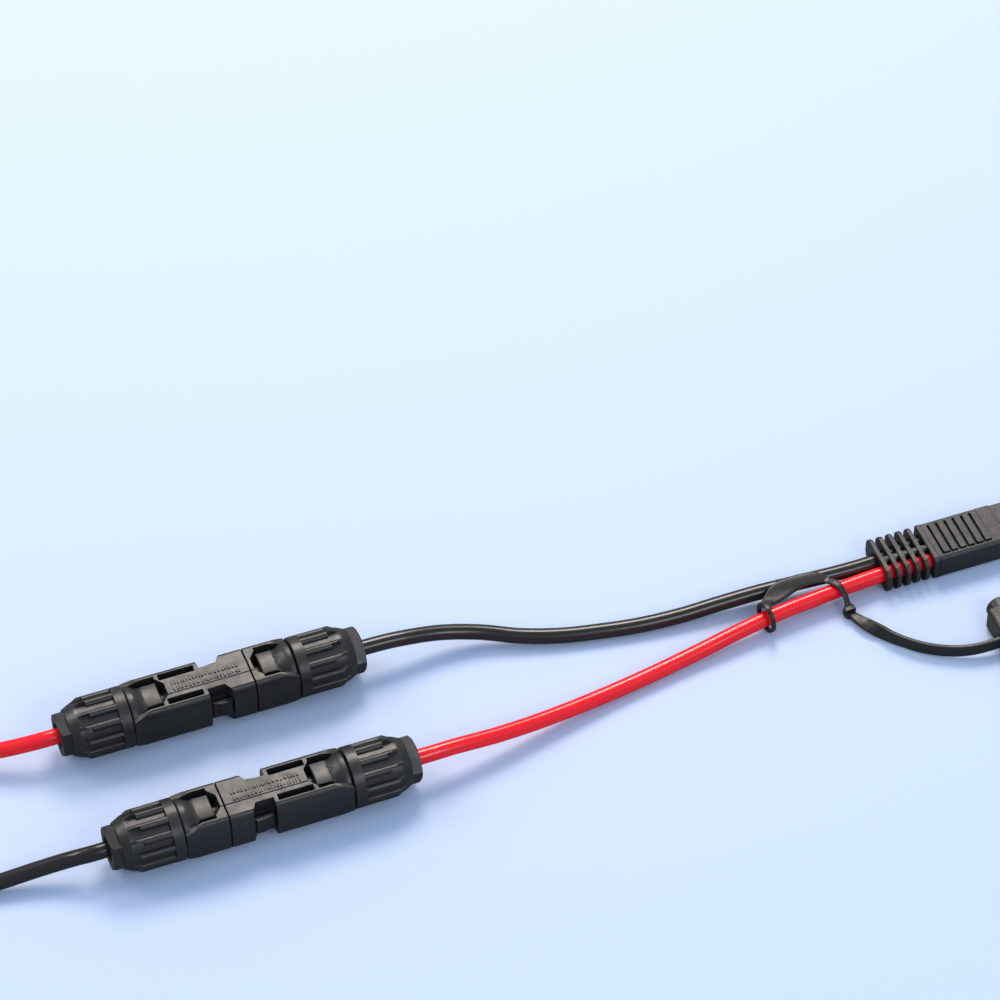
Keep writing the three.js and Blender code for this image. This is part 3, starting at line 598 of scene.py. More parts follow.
def throat(start, end):
    """The waist behind the nut: a low arch with upright flanks that widens
    smoothly into the round collar."""
    n = 20
    waist_y, widening = 4.3, 4.35
    # x, share of the flare, inset of the outline
    stations = [(start, 0.0, 0.35), (start + 0.25, 0.0, 0.1), (start + 0.5, 0.0, 0.0),
                (end - FLARE, 0.0, 0.0)]
    stations += [(end - FLARE + FLARE_LENGTH * k / 8, k / 8, 0.0) for k in range(1, 9)]
    stations += [(end - 0.35, 1.0, 0.0), (end - 0.12, 1.0, 0.18), (end, 1.0, 0.3)]
    rings = []
    for x, share, inset in stations:
        t = smoothstep(share)
        half = waist_y + widening * t - inset
        ring = []
        for k in range(n + 1):
            a = math.pi * (k / n - 0.5)
            y = half * math.sin(a)
            z = (1 - t) * arch_z(y) + t * (COLLAR_R * math.cos(a)) - inset * math.cos(a)
            ring.append((x, y, z))
        # where the halves touch, a hair's gap keeps their points apart
        ring += [(x, y, -z - (1e-3 if abs(z) < 1e-3 else 0)) for _x, y, z in reversed(ring)]
        rings.append(ring)
    return loft(rings)


def housing_end(end):
    """Deck block with an angled recess, a slot on each side of the throat, and
    walls that ramp down to the collar."""
    neck, shoulder, flare = end - NECK, end - SHOULDER, end - FLARE
    body = prism(section(), "X", SEAM_GAP, end)
    recess = prism(
        [(end + 1, -6.1), (end + 1, 6.1), (shoulder, 6.1), (shoulder, 5.0), (neck, STRIP_Y),
         (neck, -STRIP_Y), (shoulder, -5.0), (shoulder, -6.1)], "Z", -FAR, FAR)
    ramps = [
        ("-", prism([(flare, f * 7.45), (end - 3.0, f * 6.5), (end + 1, f * 5.0),
                     (end + 1, f * FAR), (flare, f * FAR)], "Y", -FAR, FAR))
        for f in (1, -1)]
    core = rod(neck - 0.4, shoulder + 0.3, 4.1)
    slots = [side_block(fy, end - 10.4, flare, 4.25, 6.1, *sorted((fz * 2.0, fz * FAR)))
             for fy in (1, -1) for fz in (1, -1)]
    body = csg(body, [("-", recess), *ramps])
    return csg(body, [("+", core), ("+", throat(shoulder + 0.02, end)), ("-", merged(*slots))])


def thread():
    """The threaded spigot, outward from the nut seam at x = 0."""
    root, crest, pitch = 6.75, 7.32, 1.5
    profile = [(-1.0, 0), (-1.0, 7.0), (0.6, 7.0)]
    x = 1.0
    while x < SPIGOT - 1.6:
        profile += [(x, root), (x + 0.45, crest), (x + 0.75, crest), (x + 1.2, root)]
        x += pitch
    profile += [(SPIGOT - 0.4, root), (SPIGOT, 6.4), (SPIGOT, 0)]
    return lathe(profile)


def marks():
    """Two rows of short raised dashes on the long housing's upper strip."""
    start, stop = -24.6, -3.4
    rnd = random.Random(3)
    out = []
    for y in (1.15, -1.15):
        x = start
        while x < stop:
            w = rnd.choice((0.36, 0.5, 0.75))
            h = rnd.choice((0.45, 0.6, 0.66))
            out.append(block(x, x + w, y - h, y + h, DECK_Z + 0.2, STRIP_Z + 0.34))
            x += w + rnd.choice((0.3, 0.38, 0.6))
    return eased(merged(*out), 0.05, segments=1)


def chevron(end):
    """A raised arrow that points outward and lies on the throat's flare."""
    size, stroke = 1.35, 0.3 * 1.6
    x = end - FLARE
    me = prism([(x, -size), (x + stroke, -size), (x + size + stroke, 0),
                (x + stroke, size), (x, size), (x + size, 0)], "Z", -0.3, 0.2)
    for v in me.vertices:
        t = smoothstep(min(1.0, max(0.0, (v.co.x - end + FLARE) / FLARE_LENGTH)))
        v.co.z += (1 - t) * arch_z(v.co.y) + t * math.sqrt(COLLAR_R**2 - v.co.y**2)
    return eased(me, 0.05, segments=1)


def pin_housing(arrow):
    """The long half: windows round an inner sleeve, and latch openings."""
    body = moved(housing_end(-LONG_END), TURN)
    windows = []
    for f in (1, -1):
        for fz in (1, -1):
            windows.append(side_block(f, -27.6, -16.2, 4.0, 6.2, *sorted((fz * 1.5, fz * FAR))))
        windows.append(prism([(-14.8, f * 4.6), (-9.2, f * 4.6), (-7.5, f * 7.6),
                              (-7.5, f * FAR), (-14.8, f * FAR)], "Z", -FAR, FAR))
    sleeve = rod(-30, 1, 5.45, 64)
    mouth = [(-24, 0), (-24, 4.7), (-3.1, 4.7), (-2.7, 6.15), (1, 6.15), (1, 0)]
    steps = [
        ("+", block(LONG_END + NECK, -SEAM_GAP, -STRIP_Y, STRIP_Y, -STRIP_Z, STRIP_Z)),
        ("+", moved(thread(), LONG_GLAND)),
        ("-", csg(merged(*windows), [("-", sleeve)])),
        *[("-", side_block(f, -10.5, 1, 5.75, 7.8, -3.3, 3.3)) for f in (1, -1)],
        ("-", lathe(mouth)),
        ("-", rod(LONG_END - FAR, -23, BORE_R)),
        ("-", rod(LONG_END - FAR, LONG_END - SEAT_START, SEAT_R)),
    ]
    arrows = [moved(chevron(-LONG_END), TURN)] if arrow else []
    return merged(eased(csg(body, steps), 0.16), marks(), *arrows)


def socket_housing(arrow):
    """The short half, with a nose that reaches into the long one."""
    nose = [(-23, 0), (-23, 3.75), (-22.3, 4.3), (-20.6, 4.35), (-20.4, 4.2), (-18.0, 4.2),
            (-17.8, 4.35), (1, 4.35), (1, 0)]
    steps = [
        ("+", block(SEAM_GAP, SHORT_END - NECK, -STRIP_Y, STRIP_Y, -STRIP_Z, STRIP_Z)),
        ("+", moved(thread(), SHORT_GLAND)),
        ("+", lathe(nose)),
        *[("-", side_block(f, -1, 1.6, 6.2, 7.9, -3.3, 3.3)) for f in (1, -1)],
        ("-", rod(-24, SHORT_END + FAR, BORE_R)),
        ("-", rod(SHORT_END + SEAT_START, SHORT_END + FAR, SEAT_R)),
    ]
    me = eased(csg(housing_end(SHORT_END), steps), 0.16)
    return merged(me, chevron(SHORT_END)) if arrow else me


def latch(side):
    """Sprung arm: a root block, a thin blade and a barbed, finger-ribbed head."""
    # x, distance from the XZ plane
    outline = [
        (1.2, 6.5), (1.2, 7.5), (-1.0, 7.5), (-1.6, 7.3), (-6.6, 7.3), (-7.4, 7.5),
        (-8.1, 7.5), (-8.1, 8.25), (-8.4, 8.43), (-10.4, 8.43), (-12.4, 8.05), (-13.8, 7.6),
        (-14.2, 7.3), (-14.2, 6.85), (-13.8, 6.5), (-8.4, 6.5), (-7.6, 6.62), (-1.6, 6.62),
        (-1.0, 6.5)]
    arm = prism([(x, side * y) for x, y in outline], "Z", -3.0, 3.0)
    grooves = []
    for k, surface in enumerate((8.0, 8.3, 8.45)):
        x = -12.3 + 1.15 * k
        grooves.append(("-", side_block(side, x, x + 0.4, surface - 0.12, 9.5, -2.4, 2.4)))
    return eased(csg(arm, grooves), 0.14)


# The nut's barrel, outward from the nut seam at x = 0
NUT_FLOOR, NUT_CROWN = 8.4, 9.75  # radius between the ribs, and over their crowns
RIB_ANGLE = 30  # spacing of the ribs, in degrees
RIB_TIP, RIB_HALF = 1.4, 1.25  # radius of a rib's crown, and its half-width
# stations along x, and angles within one rib's sector in degrees
NUT_XS = [0.3, 0.42, 0.62, 3.5, 3.74, 3.86, 6.0, 9.0, 12.5, 12.62, 14.2, 14.8, 15.4, 15.7,
          16.6, 18.0, 19.3]
NUT_ANGLES = [0, 3, 5.7, 6.0, 7.3, 7.7, 8.6, 9.9, 11.4, 13, 14.3, 14.7, 15.3, 15.7, 17, 18.6,
              20.1, 21.4, 22.3, 22.7, 24.0, 24.3, 27]
NUT_INSET = {0.3: 0.28, 0.42: 0.08}  # x: how far the collar's first edge draws in


def rib_radius(degrees):
    """The barrel's radius across its ribs."""
    off = abs(degrees % RIB_ANGLE - 15) * math.radians(1) * 9.3
    if off < RIB_HALF:
        return NUT_CROWN - RIB_TIP + math.sqrt(RIB_TIP**2 - off**2)
    edge = NUT_CROWN - RIB_TIP + math.sqrt(RIB_TIP**2 - RIB_HALF**2)
    return max(NUT_FLOOR, edge + (NUT_FLOOR - edge) * (off - RIB_HALF) / 0.2)


def nut_radius(x, degrees, side):
    """A plain collar, ribs stepped on one side near their tips, then a cone."""
    if x < 3.75:
        return NUT_CROWN - NUT_INSET.get(x, 0)
    if x > 15.75:
        return 9.0 - 1.65 * (x - 15.7) / 3.6
    r = rib_radius(degrees)
    if x > 12.55 and 14.5 < (side * degrees) % RIB_ANGLE < 25.5:
        r = NUT_FLOOR
    if x > 14.2:
        r = min(r, NUT_CROWN - 0.75 * (x - 14.2) / 1.2)
    return r


def nut(side):
    """Gland nut: the ribbed barrel and a hexagon. The ribs' steps turn one way
    for side 1 and the other for -1."""
    angles = [RIB_ANGLE * i + m for i in range(12) for m in NUT_ANGLES]
    n = len(angles)
    verts = []
    for x in NUT_XS:
        for degrees in angles:
            r = nut_radius(x, degrees, side)
            a = math.radians(degrees)
            verts.append((x, r * math.cos(a), r * math.sin(a)))
    verts += [(NUT_XS[0], 0, 0), (NUT_XS[-1], 0, 0)]
    faces = wall(len(NUT_XS), n)
    last = (len(NUT_XS) - 1) * n
    for k in range(n):
        faces.append((k, (k + 1) % n, len(verts) - 2))
        faces.append((last + k, last + (k + 1) % n, len(verts) - 1))
    body = make_mesh(verts, faces)
    corner_r = 13.0 / math.sqrt(3)  # 13 mm across flats
    corners = [math.radians(60 * k + 46) for k in range(6)]
    hexagon = [(corner_r * math.cos(a), corner_r * math.sin(a)) for a in corners]
    limit = lathe([(18, 0), (18, 7.6), (21.8, 7.6), (22.5, 6.65), (22.5, 0)], 96)
    bore = [(-1, 0), (-1, 7.8), (12.5, 7.8), (18.8, 4.5), (19.2, 4.1), (22.1, 4.1),
            (22.7, 4.7), (23, 0)]
    out = csg(body, [("+", csg(prism(hexagon, "X", 19.0, 22.5), [("*", limit)])),
                     ("-", lathe(bore))])
    return eased(out, 0.1, angle=30, clamp=True)


def collet():
    """A flanged sleeve whose tapered outer end is split in six."""
    profile = [
        (9.9, 2.9), (9.9, 5.4), (10.05, 5.55), (11.3, 5.55), (11.3, 6.9), (11.4, 7.0),
        (12.3, 7.0), (12.4, 6.9), (12.6, 6.5), (14.0, 6.1), (17.5, 4.4), (17.5, 2.9),
        (9.9, 2.9)]
    slots = [("-", moved(block(13.0, 18.5, -9, 9, -0.4, 0.4),
                         Matrix.Rotation(math.radians(60 * k), 4, "X"))) for k in range(3)]
    return eased(csg(lathe(profile, 60), slots), 0.08)


def seal():
    """A sleeve with five raised bands."""
    profile = [(3.0, 2.85), (3.0, 5.3), (3.3, 5.6)]
    for k in range(5):
        x = 3.6 + 1.2 * k
        profile += [(x, 5.64), (x + 0.35, 5.64), (x + 0.55, 5.3), (x + 0.9, 5.3)]
    profile += [(9.4, 5.6), (9.6, 5.3), (9.6, 2.85), (3.0, 2.85)]
    return eased(lathe(profile, 48), 0.06)


def crimp_dents(x0, x1, x2, x3):
    """Cuts for four dents round a crimp barrel, tapered over x0-x1 and x2-x3."""
    steps = []
    for k in range(4):
        a = math.pi / 2 * k
        dent = lathe([(x0, 0), (x1, 0.9), (x2, 0.9), (x3, 0)], 24)
        place = Matrix.Translation((0, 3.45 * math.cos(a), 3.45 * math.sin(a)))
        steps.append(("-", moved(dent, place)))
    return steps


def pin_contact():
    profile = [
        (-33.6, 0), (-33.6, 2.85), (-33.4, 3.0), (-26.2, 3.0), (-25.9, 2.4), (-25.4, 2.4),
        (-25.3, 3.1), (-24.5, 3.1), (-24.4, 1.95), (-19.0, 1.95), (-18.8, 1.85),
        (-18.2, 1.85), (-18.0, 1.95), (-9.8, 1.95), (-8.8, 1.65), (-8.2, 1.1), (-8.0, 0.6),
        (-8.0, 0)]
    steps = [("-", rod(-40, -26.5, 1.7, 32)), *crimp_dents(-31.4, -30.9, -29.3, -28.8)]
    return eased(csg(lathe(profile, 40), steps), 0.06)


def socket_contact():
    profile = [
        (-21.5, 0), (-21.5, 2.6), (-21.1, 2.95), (-18.0, 3.0), (-17.8, 2.8), (-16.8, 2.8),
        (-16.6, 3.0), (-4.2, 3.0), (-3.8, 2.5), (-3.0, 2.5), (-2.9, 3.1), (-2.1, 3.1),
        (-2.0, 3.0), (9.4, 3.0), (9.6, 2.85), (9.6, 0)]
    bore = [(-22, 0), (-22, 2.6), (-21.0, 2.35), (-5.5, 2.35), (-5.5, 0)]
    steps = [
        ("-", lathe(bore, 32)), ("-", rod(2.6, 20, 1.7, 32)),
        ("-", block(-30, -12, -5, 5, -0.3, 0.3)), ("-", block(-30, -12, -0.3, 0.3, -5, 5)),
        *crimp_dents(4.6, 5.1, 6.9, 7.4)]
    return eased(csg(lathe(profile, 40), steps), 0.06)


def o_ring():
    x, ring_r, cord_r, n = -1.35, 5.25, 0.5, 16
    profile = [(x + cord_r * math.cos(2 * math.pi * k / n),
                ring_r + cord_r * math.sin(2 * math.pi * k / n)) for k in range(n)]
    me = lathe(profile + profile[:1])
    all_smooth(me)
    return me


SHAPES = {
    "latch_left": latch(1),
    "latch_right": latch(-1),
    "pin_contact": pin_contact(),
    "socket_contact": socket_contact(),
    "o_ring": o_ring(),
}
GLAND = {"collet": collet(), "seal": seal()}
NUTS = {"adapter": nut(1), "panel": nut(-1)}
for pair, place in PAIRS.items():
    # the arrow is on the half that faces the plug
    piece(f"{pair}_pin_housing", pin_housing(arrow=pair == "b"), place)
    piece(f"{pair}_socket_housing", socket_housing(arrow=pair == "a"), place)
    for name, me in SHAPES.items():
        piece(f"{pair}_{name}", me, place)
    long_side, short_side = ("panel", "adapter") if pair == "a" else ("adapter", "panel")
    ends = ((long_side, place @ LONG_GLAND), (short_side, place @ SHORT_GLAND))
    for name, me in GLAND.items():
        for side, gland in ends:
            piece(f"{pair}_{name}_{side}", me, gland)
    for side, gland in ends:
        piece(f"{pair}_nut_{side}", NUTS[side], gland)

# -------------------------------------------------------------------- leads
JACKET_R, JACKET_BORE, CORE_R = 2.5, 1.6, 1.22
POLE_Y, POLE_Z = 3.9, 4.7  # the plug's poles lie at +POLE_Y and -POLE_Y
BARE_START = 6.0  # conductor beyond the jacket at a lead's first end


def hose(path, r_out, r_in, n=36):
    """A round sleeve with annular ends."""
    points = frames(path)
    m = len(path)
    verts = []
    for r in (r_out, r_in):
        turns = [2 * math.pi * k / n for k in range(n)]
        circle = [(r * math.cos(a), r * math.sin(a)) for a in turns]
        for p, side, up in points:
            verts += [p + side * a + up * b for a, b in circle]

    def at(skin, i, k):
        return skin * m * n + i * n + k % n
    faces = []
    for i in range(m - 1):
        for k in range(n):
            faces.append((at(0, i, k), at(0, i, k + 1), at(0, i + 1, k + 1), at(0, i + 1, k)))
            faces.append((at(1, i, k), at(1, i + 1, k), at(1, i + 1, k + 1), at(1, i, k + 1)))
    for i in (0, m - 1):
        for k in range(n):
            faces.append((at(0, i, k), at(1, i, k), at(1, i, k + 1), at(0, i, k + 1)))
    return make_mesh(verts, faces)


def stranded(path, lay=15.0, lobes=9, n=45):
    """A twisted copper conductor: the outline is the envelope of its outer
    strands, turned once per lay length."""
    rings = []
    run = 0.0
    for i, (p, side, up) in enumerate(frames(path)):
        if i:
            run += (p - path[i - 1]).length
        turn = 2 * math.pi * run / lay
        ring = []
        for k in range(n):
            a = 2 * math.pi * k / n
            r = CORE_R - 0.24 * (1 - abs(math.cos(lobes * a / 2)) ** 0.6)
            ring.append(p + side * (r * math.cos(a + turn)) + up * (r * math.sin(a + turn)))
        rings.append(ring)
    return loft(rings)


def lead(name, points, bare_end, keep_every):
    """One lead: the jacket, and a conductor that reaches further at both ends
    and keeps only some of the jacket's stations."""
    path = catmull(points, step=1.6)
    jacket = eased(hose(path, JACKET_R, JACKET_BORE), 0.18, angle=50, dissolve=False)
    out_start = (path[0] - path[1]).normalized()
    out_end = (path[-1] - path[-2]).normalized()
    core = [path[0] + out_start * (BARE_START * t) for t in (1, 0.75, 0.5, 0.25)]
    core += path[1:-1:keep_every]
    core += [path[-1] + out_end * (bare_end * t) for t in (0.2, 0.4, 0.6, 0.8, 1)]
    wire = eased(stranded(core), 0.08, segments=1, angle=50, dissolve=False)
    piece(f"{name}_jacket", jacket)
    piece(f"{name}_conductor", wire)


def straight(seam, y, distances):
    """Points on a pair's axis, at signed distances from its seam."""
    return [(seam + d, y, AXIS_Z) for d in distances]


# Each lead starts straight inside its connector; its other points are (x, y, z).
lead("adapter_black", straight(A_SEAM, A_Y, (10.4, 20, 30, 42)) + [
    (-192.7, 21.95, 9.2), (-179.5, 21.6, 7.0), (-167.1, 18.9, 5.0), (-155.5, 14.2, 3.5),
    (-143.5, 10.4, 2.8), (-130.9, 7.7, 2.6), (-118.3, 5.6, 2.6), (-105.0, 4.4, 3.0),
    (-91.4, 4.0, 3.8), (-78.1, 3.4, 4.5), (-64.6, 2.5, POLE_Z), (-51.3, 1.8, POLE_Z),
    (-41.4, 1.75, POLE_Z), (-34.0, 2.3, POLE_Z), (-27.0, 3.5, POLE_Z),
    (-20.5, POLE_Y, POLE_Z), (-13.6, POLE_Y, POLE_Z)], bare_end=6.0, keep_every=2)
lead("adapter_red", straight(B_SEAM, B_Y, (34.4, 45, 56, 66.5)) + [
    (-192.0, -24.9, 9.1), (-176.8, -23.6, 6.9), (-159.0, -21.0, 4.6), (-141.1, -17.9, 3.1),
    (-123.1, -14.8, 2.7), (-104.8, -11.6, 3.2), (-90.3, -9.2, 4.2), (-75.4, -7.0, POLE_Z),
    (-61.2, -5.5, POLE_Z), (-46.8, -4.2, POLE_Z), (-37.8, -3.75, POLE_Z),
    (-29.0, -3.85, POLE_Z), (-20.5, -POLE_Y, POLE_Z), (-13.6, -POLE_Y, POLE_Z)],
    bare_end=6.0, keep_every=2)
lead("a_panel", straight(A_SEAM, A_Y, (-34.4, -45, -56, -67)) + [
    (-317.0, 23.4, 8.4), (-327.0, 26.0, 6.4), (-338.0, 28.8, 4.4), (-352.0, 31.6, 2.6)],
    bare_end=5.0, keep_every=1)
lead("b_panel", straight(B_SEAM, B_Y, (-10.4, -20, -30, -42)) + [
    (-314.0, -24.0, 8.1), (-324.0, -22.4, 5.9), (-336.4, -21.3, 3.8), (-352.0, -20.4, 2.6)],
    bare_end=5.0, keep_every=1)

# --------------------------------------------------------------------- plug
# The leads enter at PLUG_REAR; the long shroud ends at PLUG_TIP, towards +X.
PLUG_REAR, PLUG_STEP, PLUG_NEAR, PLUG_TIP, PLUG_H = -21.0, 3.2, 8.5, 21.0, 9.5
GRIP_START, GRIP_PITCH = -17.5, 2.93  # finger ribs
FIN_START, FIN_PITCH = -38.9, 3.27  # strain-relief fins
LEAD_HOLE_R = 2.85


def at_pole(y):
    return Matrix.Translation((0, y, POLE_Z))


def stadium(middle, half, r, n=12):
    """Two half circles at pole height joined by flats, as (y, z)."""
    out = []
    for start, centre in ((-math.pi / 2, half), (math.pi / 2, -half)):
        for k in range(n + 1):
            a = start + math.pi * k / n
            out.append((centre + r * math.cos(a) + middle, POLE_Z + r * math.sin(a)))
    return out


def lead_tunnel():
    """The opening round both leads, which spreads with them towards the poles."""
    # x, y of the red lead, y of the black lead
    stations = [(-40.0, -3.75, 1.75), (-34.0, -3.75, 2.3), (-27.0, -3.85, 3.5),
                (-22.0, -3.9, 3.9), (PLUG_REAR + 0.5, -3.9, 3.9)]
    return loft([[(x, y, z) for y, z in
                  stadium((red + black) / 2, (black - red) / 2, LEAD_HOLE_R)]
                 for x, red, black in stations])


def strain_relief():
    """Two ties above and below, and five fins with a bar behind each."""
    fin = [(-7.2, 0.1), (7.2, 0.1), (8.5, 1.6), (9.1, 3.0), (9.1, 6.8), (8.5, 8.2),
           (6.9, PLUG_H), (-6.9, PLUG_H), (-8.5, 8.2), (-9.1, 6.8), (-9.1, 3.0), (-8.5, 1.6)]
    steps = [("+", block(-38.7, PLUG_REAR - 0.5, -1.75, -0.25, z0, z1))
             for z0, z1 in ((7.7, 8.75), (0.6, 1.6))]
    for i in range(5):
        x = FIN_START + FIN_PITCH * i
        steps.append(("+", prism(fin, "X", x, x + 1.35)))
        steps.append(("+", block(x + 1.0, x + 2.5, -2.3, 0.2, 7.6, 8.45)))
    return steps


def finger_ribs():
    """Six ribs across the top, with a groove beside each and one at its -Y end."""
    xs = [GRIP_START + GRIP_PITCH * i for i in range(6)]
    return [
        ("+", merged(*[block(x - 1.0, x + 1.0, -6.1, 6.5, 9.0, PLUG_H + 0.3) for x in xs])),
        ("-", merged(*[block(x - 1.62, x - 1.0, -6.5, 6.5, PLUG_H - 1.1, FAR) for x in xs])),
        ("-", merged(*[block(x - 1.4, x + 0.9, -6.6, -6.1, PLUG_H - 0.9, FAR) for x in xs])),
    ]


def plug_body():
    """Flat two-pole plug: a ribbed block, one short and one long pole shroud,
    and a finned strain relief round both leads."""
    front = PLUG_STEP - 0.5
    long_shroud = rounded(POLE_Y - 3.4, POLE_Y + 3.4, 1.2, 8.2, 1.7)
    side_grooves = [block(PLUG_REAR + 0.15, PLUG_REAR + 0.5, y0, y1, -1, FAR)
                    for y0, y1 in ((-12, -7.9), (7.9, 12))]
    rear_plate = chamfered(-8.4, 8.4, 0, PLUG_H + 0.1, 1.0)
    steps = [
        ("+", prism(chamfered(-8.2, -0.3, 0, PLUG_H, 0.75), "X", front, PLUG_NEAR)),
        ("+", prism(chamfered(-1.0, 7.9, 0.5, 9.15, 0.7), "X", front, PLUG_NEAR)),
        ("+", prism(long_shroud, "X", front, PLUG_TIP)),
        ("-", merged(*side_grooves)),
        ("+", prism(rear_plate, "X", PLUG_REAR - 1.4, PLUG_REAR + 0.12)),
        *strain_relief(),
        *finger_ribs(),
        ("-", lead_tunnel()),
    ]
    for x0, x1, radii in ((PLUG_REAR - 1, -13.0, (LEAD_HOLE_R, LEAD_HOLE_R)),
                          (-14, 30, (2.6, 2.4))):
        for y, r in zip((POLE_Y, -POLE_Y), radii):
            steps.append(("-", moved(rod(x0, x1, r, 40), at_pole(y))))
    base = prism(chamfered(-8.2, 8.2, 0, PLUG_H, 0.9), "X", PLUG_REAR, PLUG_STEP)
    return eased(csg(base, steps), 0.13, angle=30)


def plug_pin():
    profile = [
        (-12.4, 0), (-12.4, 1.95), (-12.3, 2.05), (4.0, 2.05), (4.15, 1.95), (4.45, 1.95),
        (4.6, 2.05), (18.6, 2.05), (19.4, 1.95), (20.1, 1.65), (20.7, 1.2), (21.0, 0.7),
        (21.0, 0)]
    return eased(csg(lathe(profile, 40), [("-", rod(-20, -5.5, 1.65, 32))]), 0.05)


def plug_socket():
    profile = [(-12.4, 0), (-12.4, 2.1), (-12.3, 2.2), (19.3, 2.2), (19.6, 2.0), (19.6, 0)]
    bore = [(2.0, 0), (2.0, 1.7), (19.3, 1.7), (19.7, 1.9), (30, 1.9), (30, 0)]
    steps = [("-", rod(-20, -5.5, 1.65, 32)), ("-", lathe(bore, 32)),
             ("-", block(8, 30, -4, 4, -0.25, 0.25)), ("-", block(8, 30, -0.25, 0.25, -4, 4))]
    return eased(csg(lathe(profile, 40), steps), 0.05)


piece("plug_body", plug_body())
piece("plug_pin", plug_pin(), at_pole(-POLE_Y))
piece("plug_socket", plug_socket(), at_pole(POLE_Y))

# ------------------------------------------------------- tether and dust cap
POST = (-53.9, -12.4)  # x, y of the post that holds the strap's eyelet


def lookup(table, x):
    """The value at x from (x, value) rows, partly eased between them."""
    if x <= table[0][0]:
        return table[0][1]
    for (x0, y0), (x1, y1) in zip(table, table[1:]):
        if x <= x1:
            t = (x - x0) / (x1 - x0)
            t = smoothstep(t) * 0.5 + t * 0.5
            return y0 + (y1 - y0) * t
    return table[-1][1]


def lengths(points):
    """The distance run at each point."""
    out = [0.0]
    for a, b in zip(points, points[1:]):
        out.append(out[-1] + (b - a).length)
    return out


def ribbon(stations):
    """A strap along stations (x, y, z, width, thickness, roll in degrees)."""
    points = [Vector(s[:3]) for s in stations]
    path = catmull(points, step=0.8)
    # width, thickness and roll follow by distance along the stations' polyline
    marks_at, run = lengths(points), lengths(path)
    tables = [[(d, s[column]) for d, s in zip(marks_at, stations)] for column in (3, 4, 5)]
    scale = marks_at[-1] / run[-1]
    rings = []
    for i, p in enumerate(path):
        width, thick, roll = (lookup(table, run[i] * scale) for table in tables)
        t = tangent(path, i)
        side = Vector((0, 0, 1)).cross(t).normalized()
        up = t.cross(side).normalized()
        a = math.radians(roll)
        across = side * math.cos(a) + up * math.sin(a)
        over = side * -math.sin(a) + up * math.cos(a)
        outline = rounded(-width / 2, width / 2, -thick / 2, thick / 2,
                          min(0.42, thick * 0.42), 3)
        rings.append([p + across * x + over * y for x, y in outline])
    return loft(rings)


def upright(profile, seg):
    """A profile of (z, radius) turned about a vertical axis through the post."""
    stand = Matrix.Translation((*POST, 0)) @ Matrix.Rotation(-math.pi / 2, 4, "Y")
    return moved(lathe(profile, seg), stand)


def smooth_edge(points, x):
    """A smooth curve y(x) through the points."""
    if x <= points[0][0]:
        return points[0][1]
    if x >= points[-1][0]:
        return points[-1][1]
    i = max(k for k in range(len(points) - 1) if points[k][0] <= x)
    p = [points[max(i - 1, 0)], points[i], points[i + 1], points[min(i + 2, len(points) - 1)]]
    h = p[2][0] - p[1][0]
    m1 = (p[2][1] - p[0][1]) / (p[2][0] - p[0][0]) * h
    m2 = (p[3][1] - p[1][1]) / (p[3][0] - p[1][0]) * h
    return hermite((x - p[1][0]) / h, p[1][1], m1, p[2][1], m2)


def leaf():
    """The saddle: a thin sheet that arches over the black lead and narrows
    towards each end."""
    # (x, y) of the -Y edge, the +Y edge and the lead below
    near = [(-80.6, -4.6), (-77.6, -4.7), (-74.0, -4.3), (-70.0, -3.0), (-66.0, -1.95),
            (-62.0, -1.7), (-58.5, -2.3), (-55.2, -4.2)]
    far = [(-80.6, -3.0), (-78.8, -1.2), (-76.0, 1.1), (-72.0, 2.5), (-67.0, 2.9),
           (-62.0, 2.5), (-58.4, 1.1), (-55.2, -2.8)]
    wire = [(-91.4, 4.0), (-78.1, 3.4), (-64.6, 2.5), (-51.3, 1.8)]
    start, length, full = -80.6, 25.4, 0.9  # full: thickness away from the edges
    nx, ny = 64, 18
    top, bottom = [], []
    for i in range(nx + 1):
        x = start + length * i / nx
        y0, y1, wire_y = (smooth_edge(line, x) for line in (near, far, wire))
        for j in range(ny + 1):
            y = y0 + (y1 - y0) * j / ny
            bend = 1.3 * (1 - math.exp(-((y - wire_y) / 4.2) ** 2))
            z = 8.6 - bend - 0.3 * ((x + 68) / 13) ** 2
            edge = min(1.0, min(j, ny - j) / 2.0)
            thinned = (full - full * (0.55 + 0.45 * math.sqrt(edge))) * 0.5
            top.append((x, y, z - thinned))
            bottom.append((x, y, z - full + thinned))
    m = ny + 1
    n = len(top)
    faces = []
    for i in range(nx):
        for j in range(ny):
            a, b, c, d = i * m + j, i * m + j + 1, (i + 1) * m + j + 1, (i + 1) * m + j
            faces.append((a, b, c, d))
            faces.append((n + a, n + d, n + c, n + b))
    rim = list(range(m)) + [i * m + ny for i in range(1, nx + 1)]
    rim += [nx * m + j for j in range(ny - 1, -1, -1)] + [i * m for i in range(nx - 1, 0, -1)]
    for a, b in zip(rim, rim[1:] + rim[:1]):
        faces.append((a, b, n + b, n + a))
    return make_mesh(top + bottom, faces)


